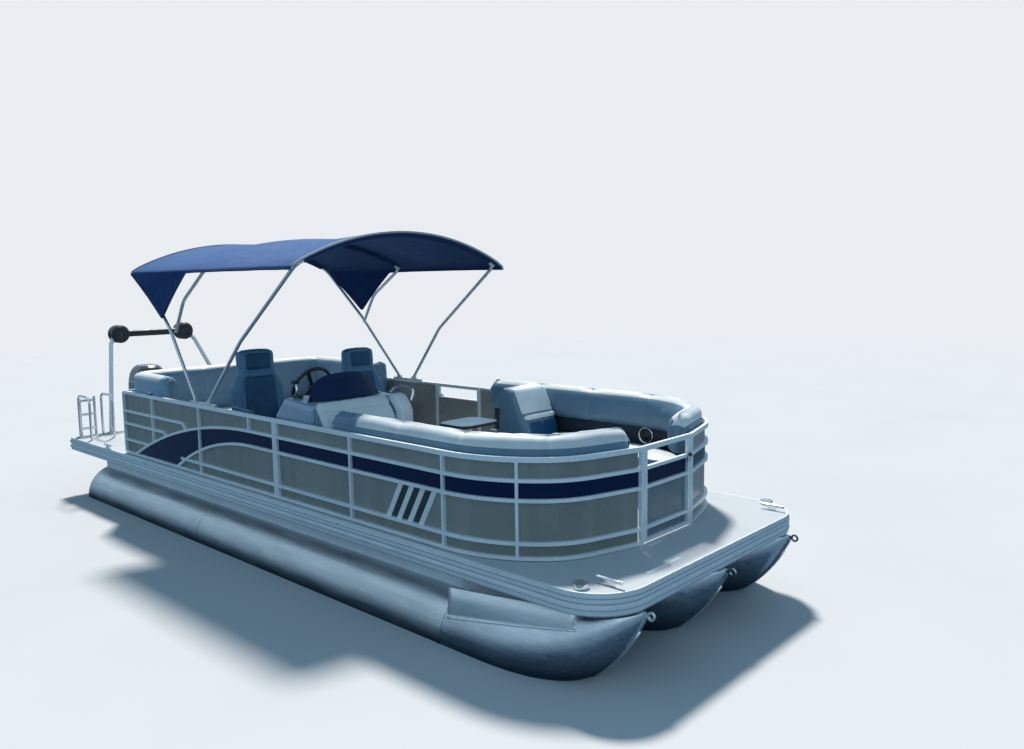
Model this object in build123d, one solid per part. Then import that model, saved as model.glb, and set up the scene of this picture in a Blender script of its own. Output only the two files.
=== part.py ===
from build123d import *
import math
import os

# A pontoon boat on three tubes, in millimetres.
# X points to the bow, Y to port and Z up, with the origin at the waterline under mid deck.

# Deck and edge trim
DECK_LENGTH = 7900
BEAM = 2590
DECK_TOP = 650
DECK_THICK = 30
DECK_CORNER = 370
TRIM_DEPTH = 140
TRIM_WALL = 22
TRIM_RIDGE = 9
TRIM_BANDS = 5
BOW = DECK_LENGTH / 2
STERN = -BOW

# Flotation tubes
TUBE_RADIUS = 317.5
TUBE_INSET = 7.5
TUBE_SPACING = BEAM / 2 - TUBE_RADIUS - TUBE_INSET
TUBE_Z = 20
TUBE_SETBACK = 450
TUBE_AFT = STERN + TUBE_SETBACK
NOSE_REACH = 15
NOSE_LENGTH = 1435
NOSE_TIP = BOW + NOSE_REACH
NOSE_START = NOSE_TIP - NOSE_LENGTH
WELD_WIDTH = 20
WELD_RISE = 4
WELD_X = -920
STEM_WIDTH = 26
STEM_RISE = 16
EYE_Z = 494
EYE_RADIUS = 28
EYE_HOLE = 15
EYE_THICK = 12
EYE_NECK = 24
KEEL_WIDTH = 22
KEEL_DEPTH = 16
KEEL_SINK = 10

# Frame under the deck
BEAM_HEIGHT = 90
BEAM_FLANGE = 60
BEAM_WEB = 8
BEAM_PITCH = 620
BEAM_MARGIN = 60
BEAM_REACH = 900
BEAM_FIRST = TUBE_AFT + BEAM_MARGIN
BEAM_LAST = NOSE_START + BEAM_REACH
RISER_WIDTH = 180
RISER_WALL = 8
RISER_SINK = 6

# Fence around the cockpit, with heights above the deck
FENCE_INSET = 62
PLATFORM_LENGTH = 1470
BOW_DECK = 450
BOW_CURVE = 945
FENCE_HALF = BEAM / 2 - FENCE_INSET
FENCE_STERN = STERN + PLATFORM_LENGTH
FENCE_BOW = BOW - BOW_DECK
BOW_CURVE_X = FENCE_BOW - BOW_CURVE
HELM_REACH = 2480
COCKPIT = FENCE_STERN + HELM_REACH
BOW_RETURN = 941
BOW_RADIUS_SIDE = 1000
BOW_TURN_SIDE = 40
BOW_RADIUS_FRONT = 600
BOW_TURN_FRONT = 34
RAIL_THICK = 26
PANEL_THICK = 6
PANEL_DROP = 5
STRIPE_THICK = 4
POST_WIDTH = 30
THIN_POST = 20
TOP_RAIL = 663
STRIPE_HIGH = 527
STRIPE_LOW = 397
LOWER_RAIL = 115
BOTTOM_RAIL = 18
TOP_RAIL_HEIGHT = 34
RAIL_HEIGHT = 24
FENCE_TOP = TOP_RAIL + TOP_RAIL_HEIGHT / 2
STERN_POST_PITCH = 700
FIRST_POST = 680
SECOND_POST = 1660
THIRD_POST = 1978
FOURTH_POST = 960
DOUBLE_POST_STEP = 26
DOUBLE_POST_GAP = 6
BOW_POST_SHARE = 0.78
SHORT_RAIL_RADIUS = 45
SLAT_X = 2073
SLAT_PITCH = 117
SLAT_WIDTH = 50
SLAT_LEAN = 147
SLAT_THICK = 8
SLAT_COUNT = 4

# Sweeping arches of the stripe towards the stern
ARCH_JOIN_X = COCKPIT + 100
OUTER_ARCH_REACH = 199
INNER_ARCH_REACH = 1150
LOWER_RAIL_REACH = 120
OUTER_ARCH_FOOT = FENCE_STERN + OUTER_ARCH_REACH
INNER_ARCH_FOOT = FENCE_STERN + INNER_ARCH_REACH
LOWER_RAIL_AFT = INNER_ARCH_FOOT + LOWER_RAIL_REACH
# Columns: height of a short stern rail above the deck, distance from the stern to its bend
SHORT_RAILS = [(155, 560), (330, 930), (465, 1340)]

# Gates
GATE_GAP = 8
GATE_LIFT = 10
HINGE_RADIUS = 7
HINGE_LENGTH = 40
HINGE_LEAF = 20
HINGE_RISE = 30
BOW_GATE_HALF = FENCE_HALF - BOW_RETURN
SIDE_GATE_AFT = COCKPIT - 210
SIDE_GATE_FORE = COCKPIT + 450

# Seats, with heights above the deck
SEAT_GAP = 12
BASE_HEIGHT = 300
BASE_STEP = 25
CUSHION_THICK = 130
CUSHION_ROUND = 30
LOUNGE_DEPTH = 680
BACK_THICK = 170
BACK_ROUND = 55
BOW_BACK_TOP = 800
STERN_BACK_TOP = 870
SOFT_GAP = 0.3
PORT_LOUNGE_LENGTH = 1470
STARBOARD_LOUNGE_LENGTH = 880
PORT_LOUNGE_FORE = FENCE_STERN + PORT_LOUNGE_LENGTH
STARBOARD_LOUNGE_FORE = FENCE_STERN + STARBOARD_LOUNGE_LENGTH
BOW_BASE_BACK = 60
BOLSTER_RETURN = 140

# Helm
CONSOLE_AFT = COCKPIT + 420
CONSOLE_FORE = COCKPIT + 960
CONSOLE_GAP = 43
CONSOLE_WIDTH = 890
CONSOLE_OUTER = CONSOLE_GAP - FENCE_HALF
CONSOLE_INNER = CONSOLE_OUTER + CONSOLE_WIDTH
CONSOLE_TOP = 850
CONSOLE_ROUND = 45
DASH_HEIGHT = 700
KNEE_HEIGHT = 540
KNEE_DEPTH = 70
FOOT_DEPTH = 260
FOOT_HEIGHT = 420
FOOT_WALL = 120
SCREEN_HEIGHT = 205
SCREEN_THICK = 8
SCREEN_BOW = 90
SCREEN_RAKE = 90
WHEEL_X = COCKPIT + 330
WHEEL_Y = CONSOLE_OUTER + 440
WHEEL_Z = 885
WHEEL_RADIUS = 185
WHEEL_RIM = 15
WHEEL_TILT = 62
HUB_RADIUS = 38
HUB_LENGTH = 34
COLUMN_RADIUS = 22

# Bow backrests across the boat: lengths ahead of the aft face's foot, heights above the deck
# Columns: aft face, foot, height of the knee, top's fore and aft edges, top's height
CHAISE_GAP = 50
CHAISE_X = CONSOLE_FORE + CHAISE_GAP
STARBOARD_CHAISE = (CHAISE_X, 190, 720, 90, -30, 850)
PORT_CHAISE = (CHAISE_X + 310, 390, 400, 210, 30, 810)
PORT_BOLSTER_AFT = CHAISE_X - 260
TABLE_X = CHAISE_X + 320
TABLE_Y = 200
TABLE_HEIGHT = 550
TABLE_DEPTH = 360
TABLE_WIDTH = 460
TABLE_CORNER = 100
TABLE_THICK = 25
TABLE_LEG = 30
TABLE_FOOT = 110
TABLE_FOOT_THICK = 12

# Helm chairs, with heights above the deck
CHAIR_X = COCKPIT - 520
CAPTAIN_Y = CONSOLE_OUTER + 540
COPILOT_Y = 580
CAPTAIN_SEAT = 300
COPILOT_SEAT = 230
CHAIR_CUSHION = 140
CHAIR_BACK = 860
CHAIR_HALF = 250
CHAIR_AFT = 250
CHAIR_FORE = 240
CHAIR_LIP = 275
CHAIR_LIP_RISE = 20
CHAIR_FOLD = 110
HEADREST_FORE = 195
HEADREST_AFT = 325
SHELL_AFT = 310
SHELL_BEND = 260
HEADREST_HALF = 190
CHAIR_ROUND = 45
ARM_WIDTH = 60
ARM_LOW = 60
ARM_HEIGHT = 330
ARM_RISE = 30
ARM_AFT = 235
ARM_FORE = 130
PEDESTAL_FOOT = 160
PEDESTAL_POST = 40
PEDESTAL_PLATE = 110
PEDESTAL_THICK = 10

# Shade, with heights above the deck
BOW_TUBE = 16
CANOPY_AFT = COCKPIT - 2150
CANOPY_FORE = COCKPIT + 820
CANOPY_INSET = 18
CANOPY_HALF = FENCE_HALF - CANOPY_INSET
CANOPY_EDGE = 1940
CANOPY_CROWN = 2235
CANOPY_THICK = 14
CANOPY_DROP = 70
SKIRT_POINT_X = COCKPIT - 1500
SKIRT_POINT = 1450
SKIRT_END_X = COCKPIT - 960
MAIN_PIVOT_X = COCKPIT - 860
MAIN_BEND_X = COCKPIT - 1437
MAIN_BEND = 1374
MID_FOOT_X = COCKPIT - 1375
MID_FOOT = 1330
MID_BEND_X = COCKPIT - 1180
MID_BEND = 1640
MID_TOP_X = COCKPIT - 700
FRONT_FOOT_X = COCKPIT - 610
FRONT_BEND_X = COCKPIT - 100
FRONT_BEND = 1290
BOW_END = 60
BOW_INSET = 70
BOW_SHOULDER = 90
BOW_BEND = 300
BOW_SIDE = CANOPY_HALF - CANOPY_THICK - BOW_TUBE - 10
TRACK_HEIGHT = 22
TRACK_WIDTH = 26
SLIDE_HEIGHT = 26
FOOT_Z = FENCE_TOP + TRACK_HEIGHT + 16

# Arch over the motor, with heights above the deck
ARCH_INSET = 60
ARCH_REACH = 530
ARCH_FOOT_X = STERN + ARCH_INSET
ARCH_TOP_X = STERN - ARCH_REACH
ARCH_TOP = 1170
ARCH_FOOT_HALF = 830
ARCH_KNEE_HALF = 560
ARCH_TOP_HALF = 480
ARCH_TUBE = 25
ARCH_PLATE = 55
PLATE_THICK = 12
POD_HALF = 430
POD_RADIUS = 115
POD_LENGTH = 150
BAR_RADIUS = 42

# Boarding ladder and the platform's rails
LADDER_REACH = 40
LADDER_X = STERN - LADDER_REACH
LADDER_Z = 590
LADDER_LENGTH = 520
LADDER_TUBE = 14
LADDER_PIN = 8
LADDER_INSET = 150
LADDER_WIDTH = 170
LADDER_OUTER = LADDER_INSET - BEAM / 2
LADDER_INNER = LADDER_OUTER + LADDER_WIDTH
LADDER_STEPS = 3
STEP_PITCH = 170
STEP_DEPTH = 45
EAR_THICK = 12
GRAB_TUBE = 14
GRAB_HEIGHT = 500
GRAB_INSET = 60
GRAB_LENGTH = 330
GRAB_SIDE = 45
GRAB_AFT = STERN + GRAB_INSET
GRAB_FORE = GRAB_AFT + GRAB_LENGTH
GRAB_BEND = 70

# Outboard motor
TILT_REACH = 400
STEER_BACK = 120
TRANSOM_AHEAD = 140
TILT_X = STERN - TILT_REACH
TILT_Z = 470
TILT_PIN = 18
STEER_X = TILT_X - STEER_BACK
TRANSOM_X = TILT_X + TRANSOM_AHEAD
POD_TOP = 500
MOTOR_POD_HALF = 300
CLAMP_HALF = 120
CLAMP_THICK = 40
CLAMP_RISE = 8
CLAMP_LOW = 200
CLAMP_EAR = 30
CLAMP_TOP = TILT_Z + TILT_PIN + CLAMP_RISE
SWIVEL_LOW = 120
SWIVEL_HIGH = 540
SWIVEL_RADIUS = 55
POST_RADIUS = 30
COWL_LOW = 660
COWL_TOP = 1370
PROP_Z = -330
PROP_RADIUS = 190
PROP_BLADES = 3
PROP_HUB = 52
HUB_REACH = 130
BLADE_THICK = 8
CASE_RADIUS = 62
CASE_LENGTH = 330
CASE_BACK = 365
CASE_AFT = STEER_X - CASE_BACK

# Deck fittings
CLEAT_LENGTH = 190
CLEAT_RADIUS = 11
CLEAT_FOOT = 60
CLEAT_WIDTH = 22
CLEAT_HEIGHT = 36
CLEAT_BOW_BACK = 170
CLEAT_BOW_INSET = 235
CLEAT_PORT_AHEAD = 250
CLEAT_PORT_INSET = 145
CLEAT_SIDE_AHEAD = 1050
CLEAT_SIDE_INSET = 30
LIGHT_RADIUS = 48
LIGHT_HEIGHT = 32
LIGHT_BACK = 280
LIGHT_INSET = 100


def save(shape, name):
    """Write one piece to its own file."""
    export_step(shape, f"parts/{name}.step")


def box(x, y, z):
    """A box from its low and high values along each axis."""
    low = (x[0], y[0], z[0])
    size = (x[1] - x[0], y[1] - y[0], z[1] - z[0])
    return Pos(*low) * Box(*size, align=(Align.MIN, Align.MIN, Align.MIN))


def rod(start, end, radius):
    """A round bar between two points."""
    start = Vector(*start)
    end = Vector(*end)
    axis = Plane(origin=start, z_dir=end - start)
    return extrude(axis * Circle(radius), (end - start).length)


def mirrored(shape):
    """The same piece on the other side of the boat."""
    return mirror(shape, about=Plane.XZ)


def deck_face(inset):
    """The deck's plan, drawn in from its edge."""
    half = BEAM / 2 - inset
    length = DECK_LENGTH - 2 * inset
    plan = Rectangle(length, 2 * half)
    bow_corners = plan.vertices().group_by(Axis.X)[-1]
    return fillet(bow_corners, DECK_CORNER - inset)


def build_deck():
    """The deck board with its floor covering."""
    return Pos(0, 0, DECK_TOP - DECK_THICK) * extrude(deck_face(TRIM_WALL), DECK_THICK)


def build_trim():
    """The ridged extrusion around the deck's edge."""
    height = TRIM_DEPTH / TRIM_BANDS
    hollow = deck_face(TRIM_WALL)
    rings = []
    for i in range(TRIM_BANDS):
        inset = TRIM_RIDGE if i % 2 == 0 else 0
        ring = deck_face(inset) - hollow
        rings.append(Pos(0, 0, DECK_TOP - (i + 1) * height) * extrude(ring, height))
    return Part() + rings


def tube_centres():
    return {"port": TUBE_SPACING, "center": 0, "starboard": -TUBE_SPACING}


def build_tube(y):
    """One round tube with its aft cap, weld rings and keel."""
    length = NOSE_START - TUBE_AFT
    body = Pos(TUBE_AFT, y, TUBE_Z) * (Rot(0, 90, 0) * extrude(Circle(TUBE_RADIUS), length))
    ring = extrude(Circle(TUBE_RADIUS + WELD_RISE), WELD_WIDTH)
    for x in (WELD_X, NOSE_START - WELD_WIDTH):
        body += Pos(x, y, TUBE_Z) * (Rot(0, 90, 0) * ring)
    keel_low = TUBE_Z - TUBE_RADIUS - KEEL_DEPTH
    keel = box(
        (TUBE_AFT, NOSE_START),
        (y - KEEL_WIDTH / 2, y + KEEL_WIDTH / 2),
        (keel_low, keel_low + KEEL_DEPTH + KEEL_SINK),
    )
    return body + keel


def nose_section(x, y, keel_z, belly, belly_z, shoulder, shoulder_z, top_z):
    """One section across a nosecone: two bowed sides and a crowned top."""
    plane = Plane(origin=(x, y, 0), x_dir=(0, 1, 0), z_dir=(1, 0, 0))
    left = ThreePointArc((0, keel_z), (belly, belly_z), (shoulder, shoulder_z))
    top = ThreePointArc((shoulder, shoulder_z), (0, top_z), (-shoulder, shoulder_z))
    right = ThreePointArc((-shoulder, shoulder_z), (-belly, belly_z), (0, keel_z))
    return plane * make_face([left, top, right])


def build_nosecone(y):
    """A nose that rises from the round tube to a point under the deck's front edge."""
    r = TUBE_RADIUS
    c = math.cos(math.radians(45))
    half = math.radians(22.5)
    tube = (NOSE_START, TUBE_Z - r, r * math.cos(half), TUBE_Z - r * math.sin(half),
            r * c, TUBE_Z + r * c, TUBE_Z + r)
    # Columns: distance from the tip, keel height, belly half width and height, shoulder half width
    # and height, top
    rows = [
        (870, -225, 300, -20, 232, 315, 400),
        (445, -50, 255, 150, 200, 400, 475),
        (135, 250, 135, 380, 120, 470, 500),
        (0, 478, 16, 494, 14, 505, 508),
    ]
    sections = [nose_section(tube[0], y, *tube[1:])]
    sections += [nose_section(NOSE_TIP - row[0], y, *row[1:]) for row in rows]
    return loft(sections) + build_stem(y)


def build_stem(y):
    """The upright strip along a nosecone's front edge."""
    # Columns: distance from the tip, height
    low, middle, high = [(NOSE_TIP - back, z) for back, z in [(560, -110), (170, 215), (0, 478)]]
    rise = STEM_RISE
    outer = ThreePointArc(
        (low[0], low[1] - rise), (middle[0] + rise * 0.7, middle[1] - rise * 0.7), (high[0] + rise, high[1])
    )
    inner = ThreePointArc(
        (low[0], low[1] + rise), (middle[0] - rise, middle[1] + rise), (high[0] - rise, high[1])
    )
    face = make_face([outer, inner, Line(outer @ 0, inner @ 0), Line(outer @ 1, inner @ 1)])
    plane = Plane(origin=(0, y + STEM_WIDTH / 2, 0), x_dir=(1, 0, 0), z_dir=(0, -1, 0))
    return extrude(plane * face, STEM_WIDTH)


def build_risers():
    """A channel on top of each tube that carries the crossmembers."""
    top = DECK_TOP - DECK_THICK - BEAM_HEIGHT
    low = TUBE_Z + math.sqrt(TUBE_RADIUS ** 2 - (RISER_WIDTH / 2) ** 2) - RISER_SINK
    parts = []
    for y in tube_centres().values():
        outer = box((TUBE_AFT, NOSE_START), (y - RISER_WIDTH / 2, y + RISER_WIDTH / 2), (low, top))
        inner = box(
            (TUBE_AFT, NOSE_START),
            (y - RISER_WIDTH / 2 + RISER_WALL, y + RISER_WIDTH / 2 - RISER_WALL),
            (low - BEAM_HEIGHT, top - RISER_WALL),
        )
        parts.append(outer - inner - build_tube(y))
    return Part() + parts


def crossmember_places():
    count = int((BEAM_LAST - BEAM_FIRST) // BEAM_PITCH) + 1
    return [BEAM_FIRST + i * BEAM_PITCH for i in range(count)]


def build_crossmembers():
    """Deep aluminium beams across the tubes, under the deck."""
    top = DECK_TOP - DECK_THICK
    half = BEAM / 2 - TRIM_WALL
    parts = []
    for x in crossmember_places():
        web = box((x - BEAM_WEB / 2, x + BEAM_WEB / 2), (-half, half), (top - BEAM_HEIGHT, top))
        beam = web
        for z in (top - BEAM_WEB, top - BEAM_HEIGHT):
            beam += box((x - BEAM_FLANGE / 2, x + BEAM_FLANGE / 2), (-half, half), (z, z + BEAM_WEB))
        parts.append(beam)
    return Part() + parts


def bow_curve(inset):
    """The fence's two port bow arcs, from the straight side to the slanted front."""
    start = (BOW_CURVE_X, FENCE_HALF - inset)
    first = JernArc(start, (1, 0), BOW_RADIUS_SIDE - inset, -BOW_TURN_SIDE)
    second = JernArc(first @ 1, first % 1, BOW_RADIUS_FRONT - inset, -BOW_TURN_FRONT)
    return first, second


def fence_face(inset):
    """The area inside the fence's centre line, drawn in by an inset, with its bow curves."""
    side = FENCE_HALF - inset
    aft = FENCE_STERN + inset
    front = FENCE_BOW - inset
    first, second = bow_curve(inset)
    end = second @ 1
    heading = second % 1
    tip = end + heading * ((front - end.X) / heading.X)
    upper = [
        Line((aft, 0), (aft, side)),
        Line((aft, side), first @ 0),
        first,
        second,
        Line(end, tip),
        Line(tip, (front, 0)),
    ]
    lower = [mirror(edge, about=Plane.XZ) for edge in upper]
    return make_face(upper + lower)


def band(height, inset, thick, x_range, y_range):
    """A strip that follows the fence: from its outer face inwards by its thickness."""
    ring = fence_face(inset) - fence_face(inset + thick)
    low, high = height
    strip = Pos(0, 0, DECK_TOP + low) * extrude(ring, high - low)
    return strip & box(x_range, y_range, (DECK_TOP + low - 1, DECK_TOP + high + 1))


def rail_span(height, size):
    return (height - size / 2, height + size / 2)


def arch_radius(top, foot_x):
    """Radius of an arch that leaves the stripe level and reaches the deck at its foot."""
    run = ARCH_JOIN_X - foot_x
    return (run ** 2 + top ** 2) / (2 * top)


def arch_z(x, top, foot_x):
    """Height of an arch's centre line."""
    radius = arch_radius(top, foot_x)
    return top - (radius - math.sqrt(radius ** 2 - (ARCH_JOIN_X - x) ** 2))


def arch_edge(top, foot_x, offset):
    """The arc of an arch, moved out from its centre line by an offset."""
    radius = arch_radius(top, foot_x)
    centre_z = top - radius
    outer = radius + offset
    foot_z = BOTTOM_RAIL
    foot = ARCH_JOIN_X - math.sqrt(outer ** 2 - (foot_z - centre_z) ** 2)
    return TangentArc((ARCH_JOIN_X, top + offset), (foot, foot_z), tangent=(-1, 0))


SIDE_PLANE = Plane(origin=(0, 0, DECK_TOP), x_dir=(1, 0, 0), z_dir=(0, -1, 0))


def arch_bar(top, foot_x):
    """A curved rail of the starboard fence."""
    high = arch_edge(top, foot_x, RAIL_HEIGHT / 2)
    low = arch_edge(top, foot_x, -RAIL_HEIGHT / 2)
    face = make_face([high, low, Line(high @ 0, low @ 0), Line(high @ 1, low @ 1)])
    bar = extrude(SIDE_PLANE * face, RAIL_THICK)
    return Pos(0, -(FENCE_HALF - RAIL_THICK / 2), 0) * bar


def arch_cutter(top, foot_x, offset):
    """Everything under an arch, between the fence's inner and outer sides."""
    arc = arch_edge(top, foot_x, offset)
    start = arc @ 0
    end = arc @ 1
    fore = start.X + RAIL_HEIGHT
    low = BOTTOM_RAIL - 2 * RAIL_HEIGHT
    face = make_face([
        arc,
        Line(start, (fore, start.Y)),
        Line((fore, start.Y), (fore, low)),
        Line((fore, low), (end.X, low)),
        Line((end.X, low), end),
    ])
    depth = 4 * RAIL_THICK
    return Pos(0, -FENCE_HALF + depth / 2, 0) * extrude(SIDE_PLANE * face, depth)


def side_box(x, heights, depth):
    """A box on the starboard fence, with its inner and outer distance from the middle."""
    return box(x, (-depth[1], -depth[0]), (DECK_TOP + heights[0], DECK_TOP + heights[1]))


def post(x, heights, width):
    depth = (FENCE_HALF - RAIL_THICK / 2, FENCE_HALF + RAIL_THICK / 2)
    return side_box((x - width / 2, x + width / 2), heights, depth)


def short_rail(height, end):
    """A level stern rail whose fore end bends down onto the outer arch."""
    drop = height - arch_z(end, STRIPE_HIGH, OUTER_ARCH_FOOT)
    line = FilletPolyline(
        (FENCE_STERN, height), (end, height), (end + drop + RAIL_HEIGHT, height - drop - 2 * RAIL_HEIGHT),
        radius=SHORT_RAIL_RADIUS,
    )
    bar = extrude(SIDE_PLANE * trace(line, RAIL_HEIGHT), RAIL_THICK)
    bar = Pos(0, -(FENCE_HALF - RAIL_THICK / 2), 0) * bar
    return bar - arch_cutter(STRIPE_HIGH, OUTER_ARCH_FOOT, 0)


def build_side_frame():
    """Rails, posts and sweeping arches of one side, drawn on starboard."""
    thick = RAIL_THICK
    inset = -RAIL_THICK / 2
    gate_y = BOW_GATE_HALF + GATE_GAP
    y_range = (-BEAM, -gate_y)
    full = (FENCE_STERN + RAIL_THICK / 2, BOW)
    forward = (ARCH_JOIN_X, BOW)
    # Columns: height, size, x range
    rails = [
        (TOP_RAIL, TOP_RAIL_HEIGHT, full),
        (BOTTOM_RAIL, RAIL_HEIGHT, full),
        (STRIPE_HIGH, RAIL_HEIGHT, forward),
        (STRIPE_LOW, RAIL_HEIGHT, forward),
        (LOWER_RAIL, RAIL_HEIGHT, (LOWER_RAIL_AFT, BOW)),
    ]
    frame = Part()
    for height, size, x_range in rails:
        frame += band(rail_span(height, size), inset, thick, x_range, y_range)
    frame += arch_bar(STRIPE_HIGH, OUTER_ARCH_FOOT)
    frame += arch_bar(STRIPE_LOW, INNER_ARCH_FOOT)
    third = FENCE_STERN + FIRST_POST
    double = SIDE_GATE_FORE + DOUBLE_POST_STEP
    # Columns: x of the post, its lowest point, its width
    posts = [
        (FENCE_STERN, BOTTOM_RAIL, RAIL_THICK),
        (third, arch_z(third, STRIPE_HIGH, OUTER_ARCH_FOOT), THIN_POST),
        (FENCE_STERN + SECOND_POST, BOTTOM_RAIL, THIN_POST),
        (ARCH_JOIN_X - THIN_POST, STRIPE_HIGH, THIN_POST),
        (double, BOTTOM_RAIL, POST_WIDTH),
        (double + POST_WIDTH + DOUBLE_POST_GAP, BOTTOM_RAIL, POST_WIDTH),
        (FENCE_BOW - THIRD_POST, BOTTOM_RAIL, THIN_POST),
        (FENCE_BOW - FOURTH_POST, BOTTOM_RAIL, THIN_POST),
    ]
    for x, low, width in posts:
        frame += post(x, (low, TOP_RAIL), width)
    for height, reach in SHORT_RAILS:
        frame += short_rail(height, FENCE_STERN + reach)
    frame += bow_post(BOW_POST_SHARE)
    gate_post = box(
        (FENCE_BOW - thick / 2, FENCE_BOW + thick / 2),
        (-gate_y - POST_WIDTH, -gate_y),
        (DECK_TOP, DECK_TOP + FENCE_TOP),
    )
    return frame + gate_post


def bow_post(share):
    """A thin post on the starboard bow curve, at a share of its first arc."""
    arc = bow_curve(0)[0]
    place = arc @ share
    heading = arc % share
    turn = -math.degrees(math.atan2(heading.Y, heading.X))
    bar = Box(THIN_POST, RAIL_THICK, TOP_RAIL - BOTTOM_RAIL)
    middle = DECK_TOP + (TOP_RAIL + BOTTOM_RAIL) / 2
    return Pos(place.X, -place.Y, middle) * (Rot(0, 0, turn) * bar)


def panel_inset():
    return RAIL_THICK / 2


def build_side_panels():
    """Sheet behind the rails of one side, drawn on starboard."""
    y_range = (-BEAM, -BOW_GATE_HALF - GATE_GAP - POST_WIDTH)
    full = (FENCE_STERN + POST_WIDTH, BOW)
    return band((BOTTOM_RAIL, TOP_RAIL - PANEL_DROP), panel_inset(), PANEL_THICK, full, y_range)


def build_stripe():
    """The dark band between the stripe rails, with its sweep down to the stern."""
    y_range = (-BEAM, -BOW_GATE_HALF - GATE_GAP - POST_WIDTH)
    heights = (STRIPE_LOW + RAIL_HEIGHT / 2, STRIPE_HIGH - RAIL_HEIGHT / 2)
    strip = band(heights, panel_inset() - STRIPE_THICK, STRIPE_THICK, (ARCH_JOIN_X, BOW), y_range)
    under = arch_cutter(STRIPE_HIGH, OUTER_ARCH_FOOT, -RAIL_HEIGHT / 2)
    over = arch_cutter(STRIPE_LOW, INNER_ARCH_FOOT, RAIL_HEIGHT / 2)
    slab = side_box(
        (FENCE_STERN, ARCH_JOIN_X),
        (BOTTOM_RAIL + RAIL_HEIGHT / 2, STRIPE_HIGH),
        (FENCE_HALF - RAIL_THICK / 2, FENCE_HALF - RAIL_THICK / 2 + STRIPE_THICK),
    )
    return strip + ((slab & under) - over)


def build_slats():
    """Slanted bars between the lower rails."""
    parts = []
    low = LOWER_RAIL + RAIL_HEIGHT / 2
    high = STRIPE_LOW - RAIL_HEIGHT / 2
    depth = FENCE_HALF - RAIL_THICK / 2
    for i in range(SLAT_COUNT):
        top_x = SLAT_X + i * SLAT_PITCH
        face = make_face(Polyline(
            (top_x - SLAT_LEAN, low), (top_x - SLAT_LEAN + SLAT_WIDTH, low),
            (top_x + SLAT_WIDTH, high), (top_x, high), close=True,
        ))
        parts.append(Pos(0, -depth, 0) * extrude(SIDE_PLANE * face, SLAT_THICK))
    return Part() + parts


def rail_heights():
    """Heights and sizes of the level rails above the bottom one."""
    return [
        (TOP_RAIL, TOP_RAIL_HEIGHT),
        (STRIPE_HIGH, RAIL_HEIGHT),
        (STRIPE_LOW, RAIL_HEIGHT),
        (LOWER_RAIL, RAIL_HEIGHT),
    ]


def build_stern_frame():
    """Rails and posts across the cockpit's aft end."""
    x_range = (FENCE_STERN - RAIL_THICK / 2, FENCE_STERN + RAIL_THICK / 2)
    inner = FENCE_HALF - RAIL_THICK / 2
    frame = Part()
    for height, size in rail_heights() + [(BOTTOM_RAIL, RAIL_HEIGHT)]:
        low, high = rail_span(height, size)
        frame += box(x_range, (-inner, inner), (DECK_TOP + low, DECK_TOP + high))
    for y in (-STERN_POST_PITCH, 0, STERN_POST_PITCH):
        y_range = (y - POST_WIDTH / 2, y + POST_WIDTH / 2)
        frame += box(x_range, y_range, (DECK_TOP + BOTTOM_RAIL, DECK_TOP + TOP_RAIL))
    return frame


def build_stern_panel():
    """The sheet inside the stern rails."""
    x = FENCE_STERN + RAIL_THICK / 2
    half = FENCE_HALF - RAIL_THICK / 2 - PANEL_THICK - SOFT_GAP
    heights = (DECK_TOP + BOTTOM_RAIL, DECK_TOP + TOP_RAIL - PANEL_DROP)
    return box((x, x + PANEL_THICK), (-half, half), heights)


def gate_frame(width, thick):
    """A gate in its own plane: stiles and rails, from its free edge, above the deck."""
    frame = Part()
    for x in (0, width - POST_WIDTH):
        frame += box((x, x + POST_WIDTH), (0, thick), (BOTTOM_RAIL, FENCE_TOP))
    for height, size in rail_heights() + [(BOTTOM_RAIL + GATE_LIFT, RAIL_HEIGHT)]:
        frame += box((0, width), (0, thick), rail_span(height, size))
    return frame


def gate_panels(width):
    """The sheet of a gate, behind its frame."""
    edge = HINGE_LEAF + 2
    return box((edge, width - edge), (-PANEL_THICK, 0), (BOTTOM_RAIL + GATE_LIFT, STRIPE_HIGH))


def gate_stripe(width):
    return box(
        (POST_WIDTH, width - POST_WIDTH), (0, STRIPE_THICK),
        (STRIPE_LOW + RAIL_HEIGHT / 2, STRIPE_HIGH - RAIL_HEIGHT / 2),
    )


def hinge_leaf(x_range, z):
    """One half of a gate hinge, with its knuckle on the hinge line."""
    return box(x_range, (-HINGE_RADIUS / 2, 0), (z, z + HINGE_LENGTH))


def gate_hinges(width):
    """The gate's halves and the post's halves of two hinges, in the gate's own plane."""
    line_x = width + GATE_GAP / 2
    barrel = Cylinder(HINGE_RADIUS, HINGE_LENGTH)
    gate_side = Part()
    post_side = Part()
    for z in (LOWER_RAIL + HINGE_RISE, STRIPE_LOW + HINGE_RISE):
        upper = z + HINGE_LENGTH + SOFT_GAP
        gate_side += Pos(line_x, -HINGE_RADIUS, z + HINGE_LENGTH / 2) * barrel
        gate_side += hinge_leaf((width - HINGE_LEAF, line_x), z)
        post_side += Pos(line_x, -HINGE_RADIUS, upper + HINGE_LENGTH / 2) * barrel
        post_side += hinge_leaf((line_x, width + GATE_GAP + HINGE_LEAF), upper)
    return gate_side, post_side


def place_bow_gate(shape):
    """From the gate's own plane to the bow opening, its outer face forward."""
    return Pos(FENCE_BOW - RAIL_THICK / 2, BOW_GATE_HALF, DECK_TOP) * (Rot(0, 0, -90) * shape)


def place_side_gate(shape):
    """From the gate's own plane to the port opening, its outer face to port."""
    return Pos(SIDE_GATE_AFT + GATE_GAP, FENCE_HALF - RAIL_THICK / 2, DECK_TOP) * shape


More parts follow.
